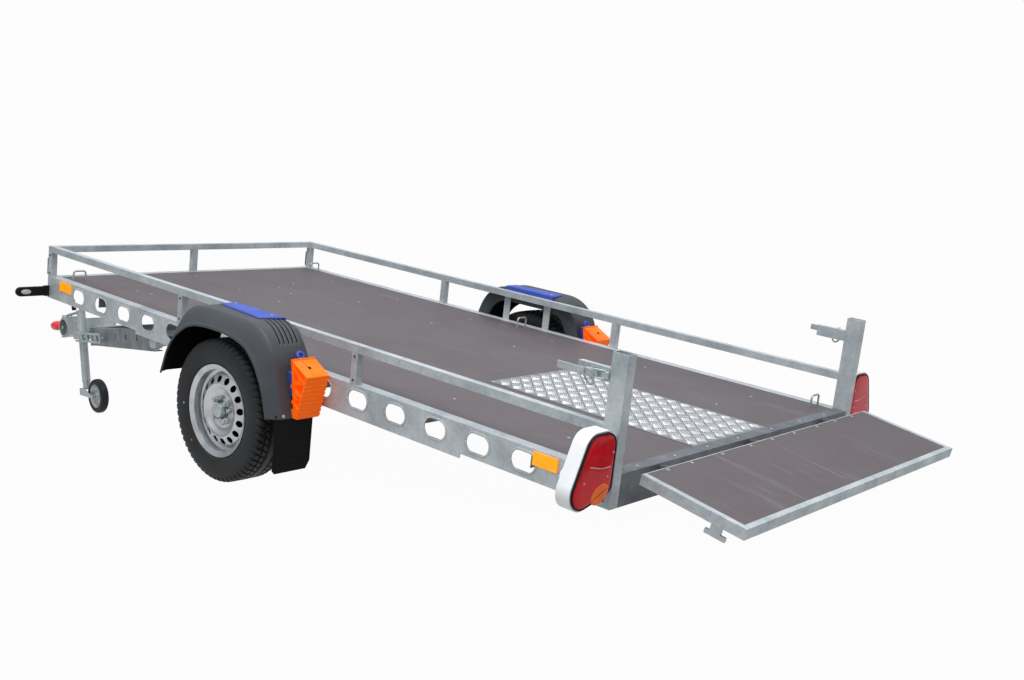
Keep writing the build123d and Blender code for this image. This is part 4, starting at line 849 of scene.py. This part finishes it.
def build_lamps(s):
    """Tail lamps: crowned red lens, black gasket, upper bulge, pale stripe and amber indicator with a rib."""
    back = -3440.0
    lens = Parts()
    lens.add(lens_form, ((4.2, back + 20), (4.2, back - 4.0), (5.6, back - 6.4), (9.0, back - 7.8),
                         (18.0, back - 8.7), (34.0, back - 9.3)), drop_outline)
    lens.add(lens_form, ((0.0, back - 3), (1.5, back - 8.6), (7.0, back - 9.3), (20.0, back - 9.6),
                         (30.0, back - 9.7)), ellipse(874.0, 92.0, 42.0, 38.0, 0))
    lens.make("lamp_lens", BED, "red_lens", "bed", "red_lens", ("tail_lamp_lenses",), mirror=True)
    for name, look, slot, replaces, outline, levels in (
            ("lamp_gasket", "black_rubber", "black_rubber", (), drop_outline,
             ((0.2, 6), (0.2, -6.0), (1.2, -7.6), (3.2, -8.0), (4.4, -6.8), (4.4, -2))),
            ("lamp_indicator", "amber_lens", "amber_lens", ("indicator_lenses",),
             ellipse(867.0, -43.0, 43.0, 31.0, -22),
             ((0, -3), (0.4, -8.8), (2.2, -9.6), (8.0, -9.8), (20.0, -9.9))),
            ("lamp_indicator_rib", "red_lens", "amber_lens", (), ellipse(867.0, -43.0, 40.0, 2.6, -22),
             ((0, -8), (0.5, -9.94), (2.2, -9.98)))):
        single(name, BED, look, "bed", slot, lens_form, [(inset, back + out) for inset, out in levels],
               outline, replaces=replaces, mirror=True)
    stripe = Parts()
    y = np.linspace(828.0, 930.0, 24)
    z = 38.0 + (y - 828.0) * 0.11 - 6.0 * bell((y - 872.0) / 60.0)
    stripe.tube(np.column_stack((np.full(24, back - 7.4), y, z)), 2.4, 10)
    stripe.make("lamp_stripe", BED, "clear_lens", "bed", "red_lens", mirror=True)
    screws = Parts()
    screws.screws([(back - 8.7, 838.0, 8.0), (back - 8.7, 950.0, 4.0), (back - 8.7, 822.0, 80.0)], (-1, 0, 0),
                  3.6)
    screws.make("lamp_screws", BED, "zinc", "bed", "zinc", mirror=True)


def build_tread(s):
    """Tread plate lugs: squares of five slim bars, turned by 90 degrees from each square to the next.

    Lug points: base ring (a cos t, b sin t) at 0 and the same, smaller, at the lug height.
    """
    x0, x1, y0, y1 = -3396.0, -2465.0, -200.0, 279.0
    cell = s.lug_pitch
    half = cell / math.sqrt(2)
    nx, ny = int((x1 - x0 - cell) // half) + 1, int((y1 - y0 - cell) // half) + 1
    i, j, k = np.meshgrid(np.arange(nx), np.arange(ny), np.arange(5), indexing="ij")
    keep = (i + j) % 2 == 0
    i, j, k = i[keep], j[keep], k[keep]
    turn = np.where(i % 2 == 0, math.radians(45), math.radians(-45))
    across = (k - 2.0) * cell * 0.185
    cx = x0 + cell * 0.6 + i * half - across * np.sin(turn)
    cy = y0 + cell * 0.6 + j * half + across * np.cos(turn)
    t = np.arange(8) * math.pi / 4
    rings = []
    for scale, z in ((1.0, 2.4), (0.96, 3.2), (0.72, 3.75)):
        u = cell * 0.40 * scale * np.cos(t) * np.where(np.abs(np.cos(t)) > 0.9, 1.10, 0.92)
        v = cell * (0.062 if scale > 0.8 else 0.036) * np.sin(t)
        px = cx[:, None] + u * np.cos(turn)[:, None] - v * np.sin(turn)[:, None]
        py = cy[:, None] + u * np.sin(turn)[:, None] + v * np.cos(turn)[:, None]
        rings.append(np.stack((px, py, np.full_like(px, z)), axis=-1))
    pts = np.stack(rings, axis=1).reshape(-1, 3)
    one = grid_faces(3, 8, wrap_m=True, flip=True)
    count = len(cx)
    base = (np.arange(count) * 24)[:, None, None]
    sides = (one[None] + base).reshape(-1, 4)
    caps = (np.arange(16, 24)[None] + (np.arange(count) * 24)[:, None])
    make("tread_lugs", pts, [sides, caps], BED, "lug_aluminium", "bed", "tread_aluminium", smooth=60.0)
    rivets = Parts()
    places = [(x, y, 2.4) for x in (-3390.0, -3160.0, -2930.0, -2700.0, -2473.0) for y in (-193.0, 272.0)]
    rivets.screws(places, (0, 0, 1), 5.0)
    rivets.make("tread_rivets", BED, "zinc", "bed", "tread_aluminium")


def build_fasteners(s):
    """Screws and bolts of the bed and ramp: revolved heads at the places that the photograph shows."""
    seen = [(-558, 83), (-560, -164), (-871, 75), (-706, -123), (-544, 573), (-154, 74)]
    rows = [(x + 18.0, y) for x in (-480, -1010, -1540, -2070, -2600, -3130) for y in (-600, -330, 330, 600)]
    deck = [(x, y, -0.2) for x, y in seen + rows if not (x < -2440 and -220 < y < 300)]
    rail = [(x, 793.0, 148.0) for x in (-60, -420, -1141, -1720, -2263, -2500, -3020)]
    ys = (644, 510, 326, 143, -5, -164, -340, -489, -635)
    board = [(-12.0, y, -0.4) for y in ys] + [(-352.0, y, -0.4) for y in ys[::2]]
    beam = [(-3425.0, y, 3.0) for y in (-620, -420, -200, 40, 240, 440, 650)]

    def heads(name, matrix, body, places, radius, mirror=False):
        screws = Parts()
        screws.screws(places, (0, 0, 1), radius)
        screws.make(name, matrix, "zinc", body, "galvanised", mirror=mirror)

    heads("deck_screws", BED, "bed", deck, 5.5)
    posts = Parts()
    for x in (-15.0, -1140.0, -2265.0):
        posts.bolts([(x, SILL_SIDE, 16.0), (x, SILL_SIDE, 104.0)], (0, 1, 0), 5.2, 3.6)
    posts.bolts([(-3420.0, SILL_SIDE, -22.0), (-3420.0, SILL_SIDE, -82.0)], (0, 1, 0), 6.0, 4.5)
    posts.bolts([(x + AXLE_X, 812.0, z) for x in (-130, 130) for z in (-80, -40)], (0, 1, 0), 7.0, 5.0)
    posts.make("post_bolts", BED, "black_steel", "bed", "galvanised", mirror=True)
    heads("rail_screws", BED, "bed", rail, 4.5, mirror=True)
    heads("ramp_screws", RAMP, "ramp", board, 6.0)
    heads("crossbar_screws", BED, "bed", beam, 5.5)


def build_ramp_edges(s):
    """Flanges of the ramp's angle frame over the board's sides and rear, mitred thin plates."""
    parts = Parts()
    w, x1, h, z = 21.0, -369.6, 767.6, (-0.4, 1.3)
    parts.add(plate, [(x1, -h), (x1 + w, -h + w), (x1 + w, h - w), (x1, h)][::-1], *z, inset=0.3)
    for side in (1, -1):
        parts.add(plate, [(x1, side * h), (x1 + w, side * (h - w)), (-1.0, side * (h - w)),
                          (-1.0, side * h)][::side], *z, inset=0.3)
    parts.make("ramp_edges", RAMP, "galvanised", "ramp", "galvanised")


def build_sill_rims(s):
    """Pressed rims round the sills' long holes: a small bead swept round each stadium outline."""
    parts = Parts()
    half, r = 18.0, 33.6
    t = np.linspace(0, 2 * math.pi, 41)
    ends = half * np.sign(np.cos(t) + 1e-9)
    x = r * np.cos(t) + ends
    z = r * np.sin(t)
    for k in range(16):
        cx = -298.0 - 200.0 * k
        rows = []
        for grow, out in ((-0.6, -2.4), (-1.2, 0.4), (0.2, 1.3), (2.6, 1.5), (5.0, 0.9), (7.4, 0.05)):
            g = (r + grow) / r
            rows.append(np.column_stack((cx + ends + (x - ends) * g, np.full(41, SILL_SIDE + out),
                                         -52.5 + z * g)))
        pts = np.array(rows).reshape(-1, 3)
        parts.put(pts, [grid_faces(6, 41, flip=True)])
    obj = parts.make("sill_rims", BED, "galvanised", "bed", "galvanised", mirror=True)
    thicken(obj, 0.6)


def build_latches(s):
    """Toggle latches: base plate with pins, hook plate with a bow, and a lever that tapers and bows out."""
    parts = Parts()
    z, y = 298.0, 802.0
    parts.box((-3386, -3312), (y, y + 3.5), (z - 15, z + 15), 1.0)
    parts.box((-3390, -3362), (y + 3, y + 16), (z - 11, z + 11), 1.5)
    parts.tube([(-3376, y + 10, z - 14), (-3376, y + 10, z + 14)], 4.5)
    parts.tube([(-3334, y + 22, z - 20), (-3334, y + 22, z + 20)], 4.0)
    bow = [(-3376, y + 14, z + 12), (-3350, y + 24, z + 13), (-3318, y + 26, z + 11), (-3308, y + 27, z + 4),
           (-3308, y + 27, z - 4), (-3318, y + 26, z - 11), (-3350, y + 24, z - 13), (-3376, y + 14, z - 12)]
    parts.tube(resampled(rounded(bow, 10, 5), 40), 3.0, 10)
    lever = [(-3352, y + 18), (-3330, y + 26), (-3290, y + 31), (-3214, y + 30), (-3208, y + 33),
             (-3214, y + 36), (-3290, y + 35), (-3332, y + 31), (-3354, y + 23)]
    parts.add(plate, lever, z - 11, z + 11, inset=0.7)
    t = np.linspace(0, 2 * math.pi, 37)
    bail = np.column_stack((-3330.0 + 17 * np.sin(t), y + 30 + 15 * np.cos(t), z - 12 + 27 * np.cos(t)))
    parts.tube(bail, 3.2, 10)
    parts.make("latch_details", BED, "zinc", "bed", "galvanised", ("toggle_latches",), mirror=True)


def build_markers(s):
    """Front marker lamps: a ribbed rubber arm with a white lens let into its end."""
    arm = Parts()
    for k in range(5):
        y = 832.0 + 12.0 * k
        arm.box((-20.5, -0.5), (y, y + 5.0), (-94.0, -50.0), 1.2)
    arm.make("marker_ribs", BED, "black_rubber", "bed", "black_rubber", mirror=True)
    lens = Parts()
    form = ellipse(925.0, -72.0, 24.0, 12.0, 0, 32)
    for x0, x1 in ((-19.0, -22.0), (-1.0, 2.0)):
        lens.add(lens_form, ((0, x0), (0.6, x1 - (x1 - x0) * 0.2), (3.0, x1)), form)
    lens.make("marker_lenses", BED, "clear_lens", "bed", "dark_reflector", mirror=True)


def build_coupling(s):
    """Coupling head's side bolts, rings and dark discs, a lever on top and a soft red nose."""
    bolts = Parts()
    for side in (1, -1):
        bolts.bolts([(1172, side * 36.0, -44), (1172, side * 36.0, -88), (1192, side * 36.0, -126)],
                    (0, side, 0), 8.0, 6.0)
        bolts.add(revolved, ((-3, 55), (3.0, 55), (4.6, 52.5), (4.6, 49), (2.2, 47.5), (-3, 47.5)),
                  (1322, side * 38.0, -74), (0, side, 0), sides=56, closed=True)
        bolts.bolts([(1322, side * 43.0, -74)], (0, side, 0), 9.0, 6.0)
    lever = resampled(rounded([(1346, 0, -12), (1330, 0, 0), (1280, 0, 6), (1225, 0, 10), (1180, 0, 22)], 20,
                              6), 24)
    bolts.tube(lever, 8.0, 14)
    bolts.tube([(1340, -30, -14), (1340, -30, -2), (1340, 30, -2), (1340, 30, -14)], 5.0, 10)
    bolts.make("coupling_bolts", DRAW, "zinc", "drawbar", "galvanised")
    dark = Parts()
    for side in (1, -1):
        dark.add(revolved, ((-2, 48), (2.6, 48), (3.6, 44), (4.4, 20), (4.8, 3)), (1322, side * 38.0, -74),
                 (0, side, 0), sides=48)
    dark.make("coupling_discs", DRAW, "black_steel", "drawbar", "galvanised")
    form = ((1396, 11), (1420, 11), (1424, 14), (1430, 13), (1435, 18), (1442, 26), (1454, 29.4), (1470, 30),
            (1490, 29.6), (1508, 27), (1520, 22), (1529, 14), (1534, 4))
    single("coupling_nose", DRAW, "red_plastic", "drawbar", "red_plastic", revolved,
           [(x - 1396, r * 0.995) for x, r in form], (1396, 0, -62), (1, 0, 0), sides=40,
           replaces=("coupling_grip",))


def build_jockey(s):
    """Jockey details: clamp collars with a bolt, rods along the arm, tube end rings and the crank's grip."""
    x, y = 980.0, 100.0
    clamp = Parts()
    for z0, z1 in ((-140.0, -128.0), (-112.0, -100.0)):
        clamp.add(revolved, ((0, 24.3), (0, 33), (z1 - z0, 33), (z1 - z0, 24.3)), (x, y, z0), (0, 0, 1),
                  sides=36, closed=True)
    clamp.bolts([(x - 36, y + 32, -118.0)], (0, 1, 0), 8.0, 7.0)
    arm = np.array([(1002, 132), (940, 140), (880, 142), (400, 312)], float)
    for z in (-113.0, -157.0):
        path = np.column_stack((arm, (z + 4, z, z, z - 1)))
        clamp.tube(resampled(rounded(path, 30, 8), 60), 6.0, 12)
    for px, wide in ((916, 7.0), (800, 11.0), (660, 7.0), (520, 11.0), (404, 7.0)):
        out = 142 + max(0.0, 880 - px) * 0.3542
        clamp.tube([(px, out, -107), (px, out, -165)], wide, 14)
        clamp.tube([(px, out - 24, -136), (px, out, -136)], 6.0, 10)
    clamp.make("clamp_details", DRAW, "zinc", "drawbar", "zinc")
    stand = Parts()
    for z, r in ((20.5, 25.4), (-399.6, 25.2)):
        stand.add(revolved, ((0, 24.1), (0, r), (5.2, r), (5.2, 24.1)), (x, y, z), (0, 0, 1), sides=40,
                  closed=True)
    stand.tube([(x, y, 26), (x, y, 52)], 9.5, 20)
    stand.make("stand_rings", DRAW, "zinc", "jockey_stand", "zinc")
    single("crank_grip", DRAW, "black_plastic", "jockey_stand", "zinc", revolved,
           ((0, 11), (2, 12.5), (22, 13), (44, 12), (47, 9), (48, 3)), (x + 80, y, 27.5), (0, 0, 1), sides=28)


def build_jockey_wheel(s):
    """Jockey wheel: a rounded tyre ring and a dished zinc disc with a hub, turned about the wheel's pin."""
    joint = JOINTS["jockey_spin"]
    centre = np.array(joint["pos_m"]) * 1000.0
    axis = np.array(joint["axis"])
    prof = [(-16.5, 67.8), (-21.5, 69.0), (-22.9, 76.0), (-22.6, 86.0), (-20.0, 94.0), (-14.0, 98.6),
            (-6.0, 99.9), (6.0, 99.9), (14.0, 98.6), (20.0, 94.0), (22.6, 86.0), (22.9, 76.0), (21.5, 69.0),
            (16.5, 67.8)]
    single("jockey_tyre_ring", ROW, "tyre_rubber", "jockey_roller", "tyre_rubber", revolved,
           rounded(prof + prof[:1], 2.5, 4)[:-1], centre, axis, sides=120, closed=True,
           replaces=("jockey_tyre",))
    half = [(17.5, 69.0), (19.0, 71.0), (20.0, 69.5), (17.0, 66.0), (12.0, 62.0), (5.0, 50.0), (3.5, 34.0),
            (6.0, 24.0), (16.0, 20.0), (18.5, 17.0), (18.5, 8.3)]
    prof = half + [(-a, r) for a, r in reversed(half)]
    single("jockey_disc", ROW, "zinc", "jockey_roller", "black_plastic", revolved, prof, centre, axis,
           sides=96, closed=True, replaces=("jockey_rim",))
    pin = Parts()
    for side in (1, -1):
        pin.bolts([centre + axis * side * 34.0], axis * side, 11.0, 8.0)
    pin.make("jockey_pin", ROW, "zinc", "jockey_swivel", "zinc")


def build_frame_materials(s):
    """Gives every frame node that is still shown its material, by the record's slot."""
    slots = {p["node"]: p["material_slot"] for p in frame["record"]["subparts"]}
    # The darker galvanised looks here are painted shade on the axle beam, cross members, drawbar arms and rear
    # beam.
    special = {"ramp_panel": "ramp_board", "rear_beam": "galvanised_dark", "axle_beam": "galvanised_dull",
               "cross_members": "galvanised_dull", "drawbar_arm_left": "galvanised_dull",
               "drawbar_arm_right": "galvanised_dull", "tail_lamp_housings": "galvanised_band",
               "coupling_head": "zinc", "ramp_catches": "zinc", "tie_down_loops": "zinc",
               # The side reflectors' amber look carries a painted glow.
               "side_reflectors": "side_amber", "lower_rails": "galvanised"}
    for name, obj in frame["nodes"].items():
        for place in obj.material_slots:
            place.link = "OBJECT"
            place.material = MATERIALS[special.get(name, slots[name])]


FLOOR_REACH = 40000.0
CAMERA_PLACE = (-4.2886, 3.538, 0.840)
CAMERA_AXES = ((-0.7520, -0.6583, -0.0329), (0.0234, -0.0765, 0.9967), (0.6587, -0.7488, -0.0730))


def build_stage(s):
    """Pale floor, soft daylight from large area lamps, and the camera of the photograph."""
    scene = bpy.context.scene
    reach = (-FLOOR_REACH, FLOOR_REACH)
    mesh = bpy.data.meshes.new("floor")
    fill_mesh(mesh, placed(ROW, [(x, y, 0.0) for x in reach for y in reach]), [grid_faces(2, 2)])
    floor = bpy.data.objects.new("floor", mesh)
    scene.collection.objects.link(floor)
    m = bpy.data.materials.new("floor_pale")
    m.use_nodes = True
    t = m.node_tree
    bsdf = next(k for k in t.nodes if k.type == "BSDF_PRINCIPLED")
    bsdf.inputs["Roughness"].default_value = 0.9
    bsdf.inputs["Base Color"].default_value = (0.24, 0.24, 0.24, 1)
    glow = node(t, "Emission", [("Color", (1.0, 1.0, 1.0, 1)), ("Strength", 1.0)])
    part = maths(t, "MULTIPLY", seen_by(t, "Camera", "Glossy", "Transmission"), s.floor_white)
    blend = node(t, "MixShader", [(0, part), (1, bsdf.outputs[0]), (2, glow.outputs[0])])
    out = next(k for k in t.nodes if k.type == "OUTPUT_MATERIAL")
    t.links.new(blend.outputs[0], out.inputs["Surface"])
    mesh.materials.append(m)

    world = bpy.data.worlds.new("sky")
    scene.world = world
    world.use_nodes = True
    w = world.node_tree
    w.nodes.clear()
    direction = node(w, "SeparateXYZ", [(0, node(w, "TexCoord").outputs["Generated"])]).outputs[2]
    height = spread(w, direction, 0.0, 1.0, 0.0, 0.85)
    sky = mix_color(w, height, (0.17, 0.18, 0.19, 1), (1.36, 1.42, 1.48, 1))
    light = node(w, "Background", [("Color", sky), ("Strength", s.sky_strength)])
    white = node(w, "Background", [("Color", (0.98, 0.98, 0.98, 1)), ("Strength", 1.0)])
    seen = seen_by(w, "Camera", "Transmission")
    mixed = node(w, "MixShader", [(0, seen), (1, light.outputs[0]), (2, white.outputs[0])])
    out = w.nodes.new("ShaderNodeOutputWorld")
    w.links.new(mixed.outputs[0], out.inputs["Surface"])

    lamps = (("key", (-2.4, 1.6, 6.0), 5.0, s.key_power), ("fill", (0.0, 6.0, 2.6), 5.0, s.fill_power),
             ("rear", (-6.0, -2.0, 3.2), 3.5, s.fill_power * 0.8))
    for label, place, size, power in lamps:
        data = bpy.data.lights.new(label, "AREA")
        data.shape = "DISK"
        data.size = size
        data.energy = power
        lamp = bpy.data.objects.new(label, data)
        lamp.location = place
        aim = Vector((-0.6, 0.0, 0.4)) - lamp.location
        lamp.rotation_euler = aim.to_track_quat("-Z", "Y").to_euler()
        lamp.visible_camera = False
        scene.collection.objects.link(lamp)

    cam = bpy.data.cameras.new("camera")
    cam.lens = s.lens
    cam.sensor_width = 36.0
    cam.dof.use_dof = False
    cam.clip_end = 200.0
    obj = bpy.data.objects.new("camera", cam)
    right, up, forward = CAMERA_AXES
    obj.matrix_world = Matrix(((right[0], up[0], -forward[0], CAMERA_PLACE[0]),
                                  (right[1], up[1], -forward[1], CAMERA_PLACE[1]),
                                  (right[2], up[2], -forward[2], CAMERA_PLACE[2]), (0, 0, 0, 1)))
    scene.collection.objects.link(obj)
    scene.camera = obj
    scene.view_settings.view_transform = "Standard"


# Add-on


class TrailerSettings(bpy.types.PropertyGroup):
    """Sizes and strengths that the operators read."""

    tread_blocks: IntProperty(name="Tread blocks", description="Blocks around each road tyre", default=62,
                              min=20)
    fender_wall: FloatProperty(name="Fender wall", description="Thickness of the fender skins in millimetres",
                               default=3.5)
    chock_ribs: IntProperty(name="Chock ribs", description="Ribs on each wheel chock", default=10, min=2)
    rib_depth: FloatProperty(name="Rib depth", description="Depth of the chock ribs in millimetres",
                             default=4.0)
    lug_pitch: FloatProperty(name="Lug pitch",
                             description="Size of a lug group on the tread plate in millimetres",
                             default=43.0)
    floor_white: FloatProperty(name="Floor white", description="How far the floor looks plain white",
                               default=0.97, subtype="FACTOR", min=0.0, max=1.0)
    sky_strength: FloatProperty(name="Sky", description="Strength of the sky light", default=0.72)
    key_power: FloatProperty(name="Key", description="Power of the key lamp", default=330.0, subtype="POWER")
    fill_power: FloatProperty(name="Fill", description="Power of the fill lamps", default=30.0,
                              subtype="POWER")
    lens: FloatProperty(name="Lens", description="Focal length of the camera in millimetres", default=40.34)


def operator(idname, text, *jobs):
    """An operator class that runs builders with the scene's settings."""

    def execute(self, context):
        for job in jobs:
            job(context.scene.trailer)
        return {"FINISHED"}

    looks = {"bl_idname": "trailer." + idname, "bl_label": idname.replace("_", " ").capitalize(),
             "__doc__": text, "execute": execute}
    return type("TRAILER_OT_" + idname, (bpy.types.Operator,), looks)


def for_sides(builder):
    """Runs a builder for the left and the right side."""

    def job(s):
        builder(s, "left", 1)
        builder(s, "right", -1)

    return job


def start_materials(s):
    """Builds the materials once."""
    MATERIALS.update(build_materials())


OPERATORS = (
    operator("materials", "Builds every material", start_materials),
    operator("frame_looks", "Gives the frame nodes their materials", build_frame_materials),
    operator("tyres", "Builds the road tyres with their tread", for_sides(build_tyre)),
    operator("hubs", "Builds wheel bolts and grease caps", for_sides(build_hub_details)),
    operator("fenders", "Builds the wheel arches with their vents", for_sides(build_fender)),
    operator("fender_fittings", "Builds pads, flaps and chocks", build_pads, build_mudflaps, build_chocks),
    operator("lamps", "Builds the tail lamps and front markers", build_lamps, build_markers),
    operator("tread", "Builds the lugs of the tread plate", build_tread),
    operator("fasteners", "Builds screws, bolts and latches", build_fasteners, build_latches),
    operator("edges", "Builds the ramp's flanges and the sills' rims", build_ramp_edges, build_sill_rims),
    operator("coupling", "Builds the coupling head's fittings and nose", build_coupling),
    operator("jockey", "Builds the jockey stand's details and its wheel", build_jockey, build_jockey_wheel),
    operator("stage", "Builds the floor, the lights and the camera", build_stage),
)


class TRAILER_PT_panel(bpy.types.Panel):
    """Sidebar panel with the settings and one button for each operator."""

    bl_label = "Trailer"
    bl_idname = "TRAILER_PT_panel"
    bl_space_type = "VIEW_3D"
    bl_region_type = "UI"
    bl_category = "Trailer"

    def draw(self, context):
        for key in TrailerSettings.__annotations__:
            self.layout.prop(context.scene.trailer, key)
        for cls in OPERATORS:
            self.layout.operator(cls.bl_idname)


CLASSES = (TrailerSettings,) + OPERATORS + (TRAILER_PT_panel,)


def register():
    for cls in CLASSES:
        bpy.utils.register_class(cls)
    bpy.types.Scene.trailer = PointerProperty(type=TrailerSettings)


def unregister():
    del bpy.types.Scene.trailer
    for cls in reversed(CLASSES):
        bpy.utils.unregister_class(cls)


def main():
    register()
    for cls in OPERATORS:
        group, name = cls.bl_idname.split(".")
        if getattr(getattr(bpy.ops, group), name)() != {"FINISHED"}:
            raise RuntimeError(cls.bl_idname + " did not finish")
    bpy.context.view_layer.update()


if __name__ == "__main__":
    main()
